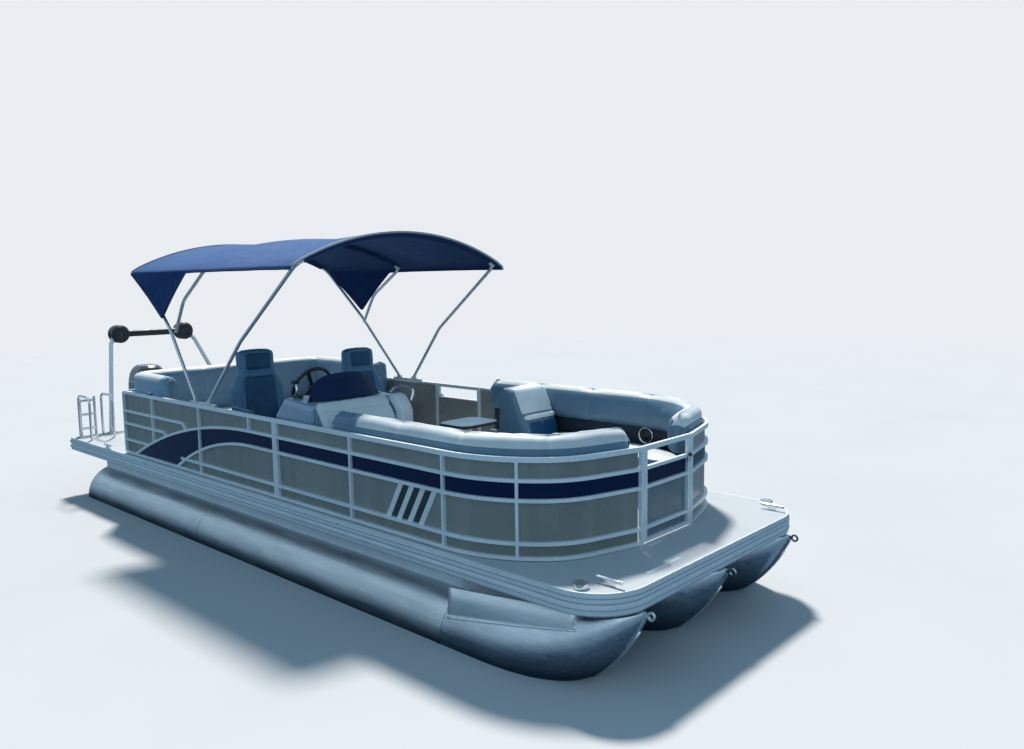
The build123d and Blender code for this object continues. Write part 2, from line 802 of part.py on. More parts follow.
def lounge_face(inset, inner_half, x_range):
    """Plan of a seat along the starboard fence."""
    area = Pos((x_range[0] + x_range[1]) / 2, -(inner_half + BEAM) / 2) * Rectangle(
        x_range[1] - x_range[0], BEAM - inner_half
    )
    return fence_face(inset) & area


def seat_inset():
    return RAIL_THICK / 2 + PANEL_THICK + SEAT_GAP


def rounded_top(shape, radius):
    """The shape with its upper edges rounded."""
    return fillet(shape.edges().group_by(Axis.Z)[-1], radius)


def chaise_fore(chaise):
    """Where the cushion in front of a backrest starts."""
    return chaise[0] + chaise[1] + SEAT_GAP


def build_bow_lounge(aft, chaise):
    """Base, cushion and backrest bolster of a bow seat, drawn on starboard, the bolster from aft."""
    inner = FENCE_HALF - LOUNGE_DEPTH
    inset = seat_inset()
    base_face = lounge_face(inset + SEAT_GAP, inner + BASE_STEP, (chaise[0], FENCE_BOW - BOW_BASE_BACK))
    if aft < chaise[0]:
        bolster_inner = FENCE_HALF - inset - BACK_THICK
        base_face += lounge_face(inset + SEAT_GAP, bolster_inner, (aft + BASE_STEP, chaise[0]))
    base = Pos(0, 0, DECK_TOP) * extrude(base_face, BASE_HEIGHT)
    seat_face = lounge_face(inset + BACK_THICK + SOFT_GAP, inner, (chaise_fore(chaise), FENCE_BOW))
    seat = Pos(0, 0, DECK_TOP + BASE_HEIGHT + SOFT_GAP) * extrude(seat_face, CUSHION_THICK)
    back = band(
        (BASE_HEIGHT + SOFT_GAP, BOW_BACK_TOP), inset, BACK_THICK,
        (aft, BOW), (-BEAM, -BOW_GATE_HALF - BOLSTER_RETURN),
    )
    return base, rounded_top(seat, CUSHION_ROUND), rounded_top(back, BACK_ROUND)


def build_chaise_base():
    """The wider part of the starboard base, under the backrest in front of the console."""
    inner = FENCE_HALF - LOUNGE_DEPTH + BASE_STEP
    y_range = (-inner, CONSOLE_INNER - BASE_STEP)
    aft, foot = STARBOARD_CHAISE[:2]
    return box((aft, aft + foot), y_range, (DECK_TOP, DECK_TOP + BASE_HEIGHT))


def build_chaise_back(chaise, inner, outer):
    """The backrest across the aft end of a bow seat, drawn on starboard: upright below, reclined above."""
    low = BASE_HEIGHT + SOFT_GAP
    x, foot, knee, top_fore, top_aft, top = chaise
    face = make_face(Polyline(
        (x, low), (x + foot, low), (x + foot, knee), (x + top_fore, top), (x + top_aft, top), close=True,
    ))
    face = fillet(face.vertices().group_by(Axis.Y)[-1], BACK_ROUND / 2)
    back = Pos(0, -inner, 0) * extrude(SIDE_PLANE * face, outer - inner)
    return fillet(back.edges().filter_by(Axis.Y, reverse=True).group_by(Axis.X)[-1], CUSHION_ROUND / 2)


def stern_ring(inset, thick, heights):
    """A strip along the sides and stern, inside the fence."""
    low, high = heights
    ring = fence_face(inset) - fence_face(inset + thick)
    return Pos(0, 0, DECK_TOP + low) * extrude(ring, high - low)


def build_stern_lounge():
    """Base, cushion and backrest of the seat around the cockpit's aft end."""
    inset = seat_inset()
    heights = (0, DECK_TOP + 2 * STERN_BACK_TOP)
    area = box((STERN, PORT_LOUNGE_FORE), (0, BEAM), heights)
    area += box((STERN, STARBOARD_LOUNGE_FORE), (-BEAM, 0), heights)
    low = BASE_HEIGHT + SOFT_GAP
    base_depth = LOUNGE_DEPTH - inset - SEAT_GAP - 2 * BASE_STEP
    base = stern_ring(inset + SEAT_GAP, base_depth, (0, BASE_HEIGHT)) & area
    seat_inner = inset + BACK_THICK + SOFT_GAP
    seat = stern_ring(seat_inner, LOUNGE_DEPTH - seat_inner, (low, low + CUSHION_THICK)) & area
    back = stern_ring(inset, BACK_THICK, (low, STERN_BACK_TOP)) & area
    return base, rounded_top(seat, CUSHION_ROUND), rounded_top(back, BACK_ROUND)


def build_console():
    """The helm console: a box with a raked dash and an open foot space."""
    knee = CONSOLE_AFT + KNEE_DEPTH
    corners = FilletPolyline(
        (knee, 0), (knee, KNEE_HEIGHT), (CONSOLE_AFT, KNEE_HEIGHT + KNEE_DEPTH),
        (CONSOLE_AFT, DASH_HEIGHT), (CONSOLE_AFT + KNEE_DEPTH * 2, CONSOLE_TOP),
        (CONSOLE_FORE, CONSOLE_TOP - KNEE_DEPTH / 2), (CONSOLE_FORE, 0), radius=CONSOLE_ROUND,
    )
    profile = make_face([corners, Line(corners @ 1, corners @ 0)])
    body = Pos(0, CONSOLE_INNER, 0) * extrude(SIDE_PLANE * profile, CONSOLE_INNER - CONSOLE_OUTER)
    foot = box(
        (CONSOLE_AFT, CONSOLE_AFT + FOOT_DEPTH), (CONSOLE_OUTER + FOOT_WALL, CONSOLE_INNER - FOOT_WALL),
        (DECK_TOP - 1, DECK_TOP + FOOT_HEIGHT),
    )
    upright = body.edges().filter_by(Axis.Z).group_by(Axis.X)[-1]
    return fillet(upright, CONSOLE_ROUND) - foot


def screen_ring(half, x, height):
    """One level section of the windscreen: a band bowed forward."""
    middle = (CONSOLE_INNER + CONSOLE_OUTER) / 2
    outer = ThreePointArc((x - SCREEN_BOW, -half), (x, 0), (x - SCREEN_BOW, half))
    back = x - SCREEN_THICK
    inner = ThreePointArc((back - SCREEN_BOW, -half), (back, 0), (back - SCREEN_BOW, half))
    face = make_face([outer, inner, Line(outer @ 0, inner @ 0), Line(outer @ 1, inner @ 1)])
    return Pos(0, middle, DECK_TOP + height) * face


def build_windscreen():
    """A low wrapped screen that leans aft from the console's fore edge."""
    half = (CONSOLE_INNER - CONSOLE_OUTER) / 2 - CONSOLE_ROUND
    low = CONSOLE_TOP - 2 * CONSOLE_ROUND
    high = CONSOLE_TOP + SCREEN_HEIGHT
    foot_x = CONSOLE_FORE - CONSOLE_ROUND
    screen = loft([
        screen_ring(half, foot_x, low),
        screen_ring(half * 0.72, foot_x - SCREEN_RAKE, high),
    ])
    return screen - build_console()


def wheel_frame(shape):
    """From the wheel's own plane to its place at the helm."""
    return Pos(WHEEL_X, WHEEL_Y, DECK_TOP + WHEEL_Z) * (Rot(0, -WHEEL_TILT, 0) * shape)


def build_wheel():
    """Steering wheel: rim, three spokes and hub, turning about its own axis."""
    wheel = Torus(WHEEL_RADIUS, WHEEL_RIM)
    for angle in (90, 210, 330):
        spoke = Pos(WHEEL_RADIUS / 2, 0, -WHEEL_RIM) * Box(WHEEL_RADIUS, 2 * WHEEL_RIM, WHEEL_RIM / 2)
        wheel += Rot(0, 0, angle) * spoke
    wheel += Pos(0, 0, -WHEEL_RIM) * Cylinder(HUB_RADIUS, HUB_LENGTH)
    return wheel_frame(wheel)


def build_wheel_shaft():
    """The column between the wheel's hub and the dash."""
    top = -WHEEL_RIM - HUB_LENGTH / 2 - SOFT_GAP
    length = CONSOLE_FORE - CONSOLE_AFT
    shaft = Pos(0, 0, top - length / 2) * Cylinder(COLUMN_RADIUS, length)
    dash = build_console()
    pieces = (wheel_frame(shaft) - dash).solids().sort_by(Axis.X)
    return pieces[0]


def build_pedestal(x, y, seat_low):
    """Chair pedestal: floor plate, post and swivel plate."""
    foot = Pos(x, y, DECK_TOP + PEDESTAL_THICK / 2) * Cylinder(PEDESTAL_FOOT, PEDESTAL_THICK)
    column = Pos(x, y, DECK_TOP + seat_low / 2) * Cylinder(PEDESTAL_POST, seat_low)
    plate_z = DECK_TOP + seat_low - PEDESTAL_THICK / 2
    plate = Pos(x, y, plate_z) * Cylinder(PEDESTAL_PLATE, PEDESTAL_THICK)
    return foot + column + plate


def build_chair(x, y, seat_low):
    """A helm chair: seat and leaning back in one shell, narrower at the headrest, with two arms."""
    low = seat_low + SOFT_GAP
    seat = low + CHAIR_CUSHION
    top = low + CHAIR_BACK
    side = make_face(Polyline(
        (x - CHAIR_AFT, low), (x + CHAIR_FORE, low), (x + CHAIR_LIP, seat + CHAIR_LIP_RISE),
        (x - CHAIR_FOLD, seat), (x - HEADREST_FORE, top), (x - HEADREST_AFT, top),
        (x - SHELL_AFT, low + SHELL_BEND), close=True,
    ))
    side = fillet(side.vertices(), CHAIR_ROUND)
    shell = Pos(0, y + CHAIR_HALF, 0) * extrude(SIDE_PLANE * side, 2 * CHAIR_HALF)
    front = make_face(Polyline(
        (y - CHAIR_HALF, low), (y + CHAIR_HALF, low), (y + CHAIR_HALF, low + CHAIR_BACK * 0.55),
        (y + HEADREST_HALF, low + CHAIR_BACK * 0.72), (y + HEADREST_HALF, top),
        (y - HEADREST_HALF, top), (y - HEADREST_HALF, low + CHAIR_BACK * 0.72),
        (y - CHAIR_HALF, low + CHAIR_BACK * 0.55), close=True,
    ))
    front = fillet(front.vertices(), CHAIR_ROUND)
    across = Plane(origin=(x - 2 * CHAIR_HALF, 0, DECK_TOP), x_dir=(0, 1, 0), z_dir=(1, 0, 0))
    shell = shell & extrude(across * front, 4 * CHAIR_HALF)
    for side_y in (y - CHAIR_HALF - ARM_WIDTH / 2, y + CHAIR_HALF + ARM_WIDTH / 2):
        arm = make_face(Polyline(
            (x - ARM_AFT, low + ARM_LOW), (x + ARM_FORE, low + ARM_LOW),
            (x + ARM_FORE + ARM_RISE, low + ARM_HEIGHT),
            (x - ARM_AFT, low + ARM_HEIGHT + ARM_RISE), close=True,
        ))
        arm = fillet(arm.vertices(), CHAIR_ROUND)
        shell += Pos(0, side_y + ARM_WIDTH / 2, 0) * extrude(SIDE_PLANE * arm, ARM_WIDTH)
    return shell


def build_table():
    """A small round-cornered table on one leg."""
    plan = fillet(Rectangle(TABLE_DEPTH, TABLE_WIDTH).vertices(), TABLE_CORNER)
    top = Pos(TABLE_X, TABLE_Y, DECK_TOP + TABLE_HEIGHT - TABLE_THICK) * extrude(plan, TABLE_THICK)
    leg_height = TABLE_HEIGHT - TABLE_THICK / 2
    leg = Pos(TABLE_X, TABLE_Y, DECK_TOP + leg_height / 2) * Cylinder(TABLE_LEG, leg_height)
    foot = Pos(TABLE_X, TABLE_Y, DECK_TOP + TABLE_FOOT_THICK / 2) * Cylinder(TABLE_FOOT, TABLE_FOOT_THICK)
    return top + leg + foot


def canopy_arch(half, edge, crown):
    """The arc of the shade from side to side, in the plane across the boat."""
    return ThreePointArc((-half, edge), (0, crown), (half, edge))


def build_canopy():
    """One curved sheet over the bows, with hanging sides that reach down to a point aft."""
    outer = canopy_arch(CANOPY_HALF, CANOPY_EDGE, CANOPY_CROWN)
    inside = CANOPY_HALF - CANOPY_THICK
    inner = canopy_arch(inside, CANOPY_EDGE, CANOPY_CROWN - CANOPY_THICK)
    face = make_face([
        outer,
        Line(outer @ 1, inner @ 1),
        inner,
        Line(inner @ 0, outer @ 0),
    ])
    plane = Plane(origin=(CANOPY_AFT, 0, DECK_TOP), x_dir=(0, 1, 0), z_dir=(1, 0, 0))
    sheet = extrude(plane * face, CANOPY_FORE - CANOPY_AFT)
    side = make_face(Polyline(
        (CANOPY_AFT, CANOPY_EDGE), (CANOPY_AFT, CANOPY_EDGE - CANOPY_DROP),
        (SKIRT_POINT_X, SKIRT_POINT), (SKIRT_END_X, CANOPY_EDGE - CANOPY_DROP),
        (CANOPY_FORE, CANOPY_EDGE - CANOPY_DROP), (CANOPY_FORE, CANOPY_EDGE), close=True,
    ))
    skirt = Pos(0, CANOPY_HALF, 0) * extrude(SIDE_PLANE * side, CANOPY_THICK)
    return sheet + skirt + mirrored(skirt)


def bimini_bow(foot, mid, top_x):
    """A bent tube: up from a foot on each side and arched across under the shade."""
    gap = CANOPY_THICK + BOW_TUBE + 3 * SOFT_GAP
    rise = CANOPY_CROWN - CANOPY_EDGE
    radius = (CANOPY_HALF ** 2 + rise ** 2) / (2 * rise) - gap
    crown = CANOPY_CROWN - gap
    turn = math.asin((CANOPY_HALF - BOW_INSET) / radius)
    corner_y = radius * math.tan(turn / 2)
    shoulder = (top_x, radius * math.sin(turn), crown - radius * (1 - math.cos(turn)))
    starboard = [foot, mid, shoulder, (top_x, corner_y, crown)]
    points = [(x, -y, DECK_TOP + z) for x, y, z in starboard]
    points += [(x, y, DECK_TOP + z) for x, y, z in reversed(starboard)]
    bends = [BOW_BEND, BOW_SHOULDER, radius * 0.995, radius * 0.995, BOW_SHOULDER, BOW_BEND]
    path = FilletPolyline(*points, radius=bends)
    return sweep(Plane(origin=path @ 0, z_dir=path % 0) * Circle(BOW_TUBE), path)


def build_bimini_main():
    """The long aft bow, from its pivot on the fence."""
    foot = (MAIN_PIVOT_X, FENCE_HALF, FOOT_Z)
    bow = bimini_bow(foot, (MAIN_BEND_X, BOW_SIDE, MAIN_BEND), CANOPY_AFT + BOW_END)
    return bow - build_bimini_feet()


def build_bimini_front():
    """The forward bow, from its slide on the fence."""
    foot = (FRONT_FOOT_X, FENCE_HALF, FOOT_Z)
    bow = bimini_bow(foot, (FRONT_BEND_X, BOW_SIDE, FRONT_BEND), CANOPY_FORE - BOW_END)
    return bow - build_bimini_feet()


def build_bimini_mid():
    """The short middle bow, hinged beside the aft bow."""
    beside = BOW_SIDE - 2 * BOW_TUBE - SOFT_GAP
    foot = (MID_FOOT_X, beside, MID_FOOT)
    return bimini_bow(foot, (MID_BEND_X, beside, MID_BEND), MID_TOP_X)


def build_bimini_feet():
    """Slide tracks on the top rails with the eyes that hold the bows."""
    parts = []
    top = DECK_TOP + FENCE_TOP
    half = TRACK_WIDTH / 2
    for side in (-1, 1):
        y = side * FENCE_HALF
        ends = (MAIN_PIVOT_X - 90, FRONT_FOOT_X + 130)
        track = box(ends, (y - half, y + half), (top, top + TRACK_HEIGHT))
        for x in (MAIN_PIVOT_X, FRONT_FOOT_X):
            slide_z = top + TRACK_HEIGHT + SLIDE_HEIGHT / 2 - PANEL_DROP
            track += Pos(x, y, slide_z) * Box(60, 30, SLIDE_HEIGHT)
        parts.append(track)
    return Part() + parts


def arch_top():
    """The middle of the arch's crossbar."""
    return Pos(ARCH_TOP_X, 0, DECK_TOP + ARCH_TOP)


def build_tow_arch():
    """The raked arch around the motor, with its crossbar."""
    top = DECK_TOP + ARCH_TOP
    points = [
        (ARCH_FOOT_X, ARCH_FOOT_HALF, DECK_TOP),
        (ARCH_FOOT_X, ARCH_FOOT_HALF, DECK_TOP + 80),
        (ARCH_TOP_X + 60, ARCH_KNEE_HALF, top - 120),
        (ARCH_TOP_X, ARCH_TOP_HALF, top),
    ]
    ring = [(x, -y, z) for x, y, z in points] + points[::-1]
    path = FilletPolyline(*ring, radius=60)
    bar = sweep(Plane(origin=path @ 0, z_dir=path % 0) * Circle(ARCH_TUBE), path)
    for side in (-1, 1):
        place = Pos(ARCH_FOOT_X, side * ARCH_FOOT_HALF, DECK_TOP + PLATE_THICK / 2)
        bar += place * Cylinder(ARCH_PLATE, PLATE_THICK)
    return bar


def build_speakers():
    """The sleeve around the crossbar with a round pod at each end."""
    across = Rot(90, 0, 0)
    reach = POD_HALF + POD_RADIUS
    pods = arch_top() * (across * Cylinder(BAR_RADIUS, 2 * POD_HALF))
    for side in (-1, 1):
        pod = Rot(0, 90, 0) * Cylinder(POD_RADIUS, POD_LENGTH)
        pod = fillet(pod.edges(), POD_RADIUS / 6)
        pods += arch_top() * (Pos(0, side * POD_HALF, 0) * pod)
    bore = arch_top() * (across * Cylinder(ARCH_TUBE + SOFT_GAP, 2 * reach))
    arch = build_tow_arch()
    return pods - bore - arch


def side_profile(points, half):
    """A solid of even width from its side view, given as X and Z."""
    plane = Plane(origin=(0, half, 0), x_dir=(1, 0, 0), z_dir=(0, -1, 0))
    return extrude(plane * make_face(Polyline(*points, close=True)), 2 * half)


def build_motor_pod():
    """The box under the stern that carries the motor's clamp."""
    points = [
        (TUBE_AFT, 60), (TUBE_AFT, POD_TOP), (TRANSOM_X, POD_TOP), (TRANSOM_X, 20),
        (TRANSOM_X + 190, -60),
    ]
    return side_profile(points, MOTOR_POD_HALF)


def build_clamp():
    """The motor's bracket on the pod's aft face: two ears and the tilt pin."""
    parts = Part()
    ear = CLAMP_THICK / 2
    for y in (-CLAMP_HALF, CLAMP_HALF):
        parts += box((TILT_X - CLAMP_EAR, TRANSOM_X), (y - ear, y + ear), (CLAMP_LOW, CLAMP_TOP))
    pin = Pos(TILT_X, 0, TILT_Z) * (Rot(90, 0, 0) * Cylinder(TILT_PIN, 2 * (CLAMP_HALF + ear)))
    return parts + pin


def build_swivel():
    """The block between the clamp's ears that tilts with the motor and holds its steering post."""
    height = SWIVEL_HIGH - SWIVEL_LOW
    middle = (SWIVEL_HIGH + SWIVEL_LOW) / 2
    body = Pos(STEER_X, 0, middle) * Cylinder(SWIVEL_RADIUS, height)
    body += box((STEER_X, TILT_X + 30), (-60, 60), (SWIVEL_LOW, CLAMP_TOP))
    between = CLAMP_HALF - CLAMP_THICK / 2 - 8
    body += box((TILT_X - 30, TILT_X + 30), (-between, between), (TILT_Z - 50, CLAMP_TOP))
    hole = Pos(TILT_X, 0, TILT_Z) * (Rot(90, 0, 0) * Cylinder(TILT_PIN + SOFT_GAP, 4 * CLAMP_HALF))
    bore = Pos(STEER_X, 0, middle) * Cylinder(POST_RADIUS + SOFT_GAP, 2 * height)
    return body - hole - bore


def build_midsection():
    """Steering post, leg, plate and gearcase of the motor."""
    x = STEER_X
    plate_z = PROP_Z + PROP_RADIUS + 25
    low = SWIVEL_LOW - 80
    leg_part = Pos(x, 0, (low + COWL_LOW) / 2) * Cylinder(POST_RADIUS, COWL_LOW - low)
    leg_part += box((x - 100, x + 35), (-40, 40), (low, SWIVEL_LOW - 5))
    head = Pos(x - 130, 0, SWIVEL_HIGH + 35) * extrude(cowl_plan(380, 290, 90), COWL_LOW - SWIVEL_HIGH - 35)
    leg = side_profile(
        [(x - 75, COWL_LOW - 40), (x - 310, COWL_LOW - 40), (x - 270, plate_z + 5), (x - 95, plate_z + 5)],
        70,
    )
    leg = fillet(leg.edges().filter_by(Plane.XZ, reverse=True).filter_by(GeomType.LINE), 25)
    leg_part += head + leg
    leg_part += box((x - 430, x + 10), (-140, 140), (plate_z, plate_z + 14))
    leg_part += Pos(CASE_AFT + CASE_LENGTH / 2, 0, PROP_Z) * (
        Rot(0, 90, 0) * Cylinder(CASE_RADIUS, CASE_LENGTH)
    )
    leg_part += Pos(CASE_AFT + CASE_LENGTH, 0, PROP_Z) * Sphere(CASE_RADIUS)
    leg_part += side_profile(
        [(x - 80, plate_z + 3), (x - 310, plate_z + 3), (x - 290, -560), (x - 190, -560), (x - 90, -380)],
        22,
    )
    return leg_part


def cowl_plan(length, width, corner):
    """Plan of the motor's cover, centred."""
    return fillet(Rectangle(length, width).vertices(), corner)


def build_cowl():
    """The motor's upper cover, full at its middle and drawn in to its top."""
    # Columns: height, x of its middle behind the tilt axis, length, width, corner radius
    rows = [
        (COWL_LOW, 300, 540, 370, 150),
        (860, 320, 570, 420, 165),
        (1120, 330, 560, 410, 165),
        (1300, 335, 470, 340, 150),
        (COWL_TOP, 340, 300, 210, 95),
    ]
    sections = []
    for z, back, length, width, corner in rows:
        sections.append(Pos(TILT_X - back, 0, z) * cowl_plan(length, width, corner))
    return loft(sections)


def build_propeller():
    """Hub and pitched blades."""
    hub_x = CASE_AFT - SOFT_GAP - HUB_REACH / 2
    prop = Rot(0, 90, 0) * Cylinder(PROP_HUB, HUB_REACH)
    root = PROP_HUB - 12
    shoulder = PROP_RADIUS * 0.65
    face = make_face([
        Line((-40, root), (40, root)),
        Line((40, root), (75, shoulder)),
        ThreePointArc((75, shoulder), (5, PROP_RADIUS), (-65, shoulder)),
        Line((-65, shoulder), (-40, root)),
    ])
    blade = Rot(0, 0, 55) * (Rot(90, 0, 0) * (Pos(0, 0, -BLADE_THICK / 2) * extrude(face, BLADE_THICK)))
    for i in range(PROP_BLADES):
        prop += Rot(360 * i / PROP_BLADES, 0, 0) * blade
    return Pos(hub_x, 0, PROP_Z) * prop


def build_ladder_rails():
    """Grab rails on the platform at the starboard quarter."""
    parts = []
    high = DECK_TOP + GRAB_HEIGHT
    for y in (LADDER_OUTER - GRAB_SIDE, LADDER_INNER + GRAB_SIDE):
        path = FilletPolyline(
            (GRAB_FORE, y, DECK_TOP), (GRAB_FORE, y, high), (GRAB_AFT, y, high), (GRAB_AFT, y, DECK_TOP),
            radius=GRAB_BEND,
        )
        parts.append(sweep(Plane(origin=path @ 0, z_dir=path % 0) * Circle(GRAB_TUBE), path))
    return Part() + parts


def build_ladder():
    """The boarding ladder, folded up over the platform's aft edge."""
    ladder = Part()
    across = Rot(90, 0, 0)
    top = LADDER_Z + LADDER_LENGTH
    for y in (LADDER_OUTER, LADDER_INNER):
        ladder += rod((LADDER_X, y, LADDER_Z), (LADDER_X, y, top), LADDER_TUBE)
        ladder += Pos(LADDER_X, y, LADDER_Z) * (across * Cylinder(LADDER_TUBE + 6, 2 * LADDER_TUBE))
    for step in range(LADDER_STEPS):
        z = top - STEP_PITCH / 4 - step * STEP_PITCH
        depth = (LADDER_X - STEP_DEPTH, LADDER_X + LADDER_TUBE)
        ladder += box(depth, (LADDER_OUTER, LADDER_INNER), (z - 12, z + 12))
    middle = (LADDER_OUTER + LADDER_INNER) / 2
    bore = across * Cylinder(LADDER_PIN + SOFT_GAP, 2 * (LADDER_INNER - LADDER_OUTER))
    return ladder - Pos(LADDER_X, middle, LADDER_Z) * bore


def build_ladder_hinge():
    """A pin in two ears on the platform's aft trim, which carries the ladder."""
    low = LADDER_OUTER + LADDER_TUBE
    high = LADDER_INNER - LADDER_TUBE
    pin = Rot(90, 0, 0) * Cylinder(LADDER_PIN, high - low + 60)
    part = Pos(LADDER_X, (low + high) / 2, LADDER_Z) * pin
    for y in (low + 2, high - EAR_THICK - 2):
        part += box((LADDER_X - 18, STERN), (y, y + EAR_THICK), (LADDER_Z - 25, LADDER_Z + 18))
    return part


def build_cleats():
    """Mooring cleats on the deck's corners."""
    parts = []
    half = BEAM / 2
    # Columns: x, y
    places = [
        (BOW - CLEAT_BOW_BACK, half - CLEAT_BOW_INSET),
        (BOW - CLEAT_BOW_BACK, CLEAT_BOW_INSET - half),
        (STERN + CLEAT_PORT_AHEAD, half - CLEAT_PORT_INSET),
        (STERN + CLEAT_SIDE_AHEAD, CLEAT_SIDE_INSET - half),
    ]
    for x, y in places:
        foot = Pos(x, y, DECK_TOP + CLEAT_HEIGHT / 2) * Box(CLEAT_FOOT, CLEAT_WIDTH, CLEAT_HEIGHT)
        bar = Pos(x, y, DECK_TOP + CLEAT_HEIGHT) * (Rot(0, 90, 0) * Cylinder(CLEAT_RADIUS, CLEAT_LENGTH))
        parts.append(foot + bar)
    return Part() + parts


def build_docking_lights():
    """Round lights on the bow corners."""
    parts = []
    for y in (LIGHT_INSET - BEAM / 2, BEAM / 2 - LIGHT_INSET):
        place = Pos(BOW - LIGHT_BACK, y, DECK_TOP + LIGHT_HEIGHT / 2)
        parts.append(place * Cylinder(LIGHT_RADIUS, LIGHT_HEIGHT))
    return Part() + parts


def build_tow_eyes():
    """An eye plate on the tip of each nosecone."""
    parts = []
    seat_x = NOSE_TIP + STEM_RISE
    eye_x = seat_x + EYE_RADIUS
    across = Rot(90, 0, 0)
    for y in tube_centres().values():
        plate = Pos(eye_x, y, EYE_Z) * (across * Cylinder(EYE_RADIUS, EYE_THICK))
        y_range = (y - EYE_THICK / 2, y + EYE_THICK / 2)
        plate += box((NOSE_TIP, eye_x), y_range, (EYE_Z - EYE_NECK / 2, EYE_Z + EYE_NECK / 2))
        plate -= Pos(eye_x, y, EYE_Z) * (across * Cylinder(EYE_HOLE, EYE_THICK * 2))
        parts.append(plate - build_nosecone(y))
    return Part() + parts


def port_fence(frame, panels, stripe, side_width):
    """The starboard fence's pieces mirrored, with the side gate's opening and posts."""
    depth = (FENCE_HALF - 2 * RAIL_THICK, FENCE_HALF + 2 * RAIL_THICK)
    heights = (DECK_TOP - BOTTOM_RAIL, DECK_TOP + FENCE_TOP + BOTTOM_RAIL)
    opening = box((SIDE_GATE_AFT, SIDE_GATE_FORE), depth, heights)
    leaf = HINGE_LEAF + 2
    panel_opening = box((SIDE_GATE_AFT - leaf, SIDE_GATE_FORE + leaf), depth, heights)
    port_frame = mirrored(frame) - opening
    for x in (SIDE_GATE_AFT - POST_WIDTH / 2, SIDE_GATE_FORE + POST_WIDTH / 2):
        port_frame += mirrored(post(x, (0, FENCE_TOP), POST_WIDTH))
    port_frame += place_side_gate(gate_hinges(side_width)[1])
    port_panels = mirrored(panels) - panel_opening
    port_stripe = mirrored(stripe) - opening - port_frame
    return port_frame, port_panels, port_stripe


def save_fence():
    """Frames, sheets, stripes and gates."""
    frame = build_side_frame()
    panels = build_side_panels()
    stripe = build_stripe()
    bow_width = 2 * BOW_GATE_HALF
    side_width = SIDE_GATE_FORE - SIDE_GATE_AFT - 2 * GATE_GAP
    port_frame, port_panels, port_stripe = port_fence(frame, panels, stripe, side_width)
    frame += place_bow_gate(gate_hinges(bow_width)[1])
    save(frame, "frame_starboard")
    save(port_frame, "frame_port")
    save(panels, "panels_starboard")
    save(port_panels, "panels_port")
    save((stripe - frame) + port_stripe, "stripes")
    slats = build_slats()
    save(slats + mirrored(slats), "slats")
    save(build_stern_frame(), "frame_stern")
    save(build_stern_panel(), "panel_stern")
    # Columns: name, width, how it is placed
    gates = [("bow", bow_width, place_bow_gate), ("side", side_width, place_side_gate)]
    for name, width, place in gates:
        save(place(gate_frame(width, RAIL_THICK) + gate_hinges(width)[0]), f"{name}_gate_frame")
        save(place(gate_panels(width)), f"{name}_gate_panel")
        save(place(gate_stripe(width)), f"{name}_gate_stripe")


def save_seats():
    """Lounges, backrests, chairs and table."""
    base, seat, back = build_bow_lounge(chaise_fore(STARBOARD_CHAISE), STARBOARD_CHAISE)
    port_base, port_seat, port_back = build_bow_lounge(PORT_BOLSTER_AFT, PORT_CHAISE)
    save(base + mirrored(port_base) + build_chaise_base(), "bow_base")
    save(seat + mirrored(port_seat), "bow_seat")
    save(back + mirrored(port_back), "bow_back")
    wall = FENCE_HALF - seat_inset() - SOFT_GAP
    port_chaise = mirrored(build_chaise_back(PORT_CHAISE, FENCE_HALF - LOUNGE_DEPTH, wall - BACK_THICK))
    save(build_chaise_back(STARBOARD_CHAISE, -CONSOLE_INNER, wall) + port_chaise, "bow_chaise")
    base, seat, back = build_stern_lounge()
    save(base, "stern_base")
    save(seat, "stern_seat")
    save(back, "stern_back")
    save(build_chair(CHAIR_X, CAPTAIN_Y, CAPTAIN_SEAT), "captain_chair")
    save(build_chair(CHAIR_X, COPILOT_Y, COPILOT_SEAT), "copilot_chair")
    pedestals = build_pedestal(CHAIR_X, CAPTAIN_Y, CAPTAIN_SEAT)
    pedestals += build_pedestal(CHAIR_X, COPILOT_Y, COPILOT_SEAT)
    save(pedestals, "chair_pedestals")
    save(build_table(), "table")


def save_hull():
    """Deck, tubes and what joins them."""
    save(build_deck(), "deck")
    save(build_trim(), "edge_trim")
    for name, y in tube_centres().items():
        save(build_tube(y), f"tube_{name}")
    save(Part() + [build_nosecone(y) for y in tube_centres().values()], "nosecones")
    save(build_risers(), "risers")
    save(build_crossmembers(), "crossmembers")
    save(build_motor_pod(), "motor_pod")


# Columns: name of the piece, the function that builds it
SINGLE_PIECES = [
    ("console", build_console),
    ("windscreen", build_windscreen),
    ("steering_column", build_wheel_shaft),
    ("steering_wheel", build_wheel),
    ("canopy", build_canopy),
    ("bimini_main", build_bimini_main),
    ("bimini_mid", build_bimini_mid),
    ("bimini_front", build_bimini_front),
    ("bimini_feet", build_bimini_feet),
    ("tow_arch", build_tow_arch),
    ("arch_speakers", build_speakers),
    ("platform_rails", build_ladder_rails),
    ("ladder", build_ladder),
    ("ladder_hinge", build_ladder_hinge),
    ("motor_clamp", build_clamp),
    ("motor_swivel", build_swivel),
    ("motor_leg", build_midsection),
    ("motor_cowl", build_cowl),
    ("propeller", build_propeller),
    ("cleats", build_cleats),
    ("docking_lights", build_docking_lights),
    ("tow_eyes", build_tow_eyes),
]

os.makedirs("parts", exist_ok=True)
save_hull()
save_fence()
save_seats()
for piece_name, build_piece in SINGLE_PIECES:
    save(build_piece(), piece_name)
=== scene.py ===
import math
import bmesh
import bpy
from mathutils import Matrix, Vector, noise
from mathutils.bvhtree import BVHTree


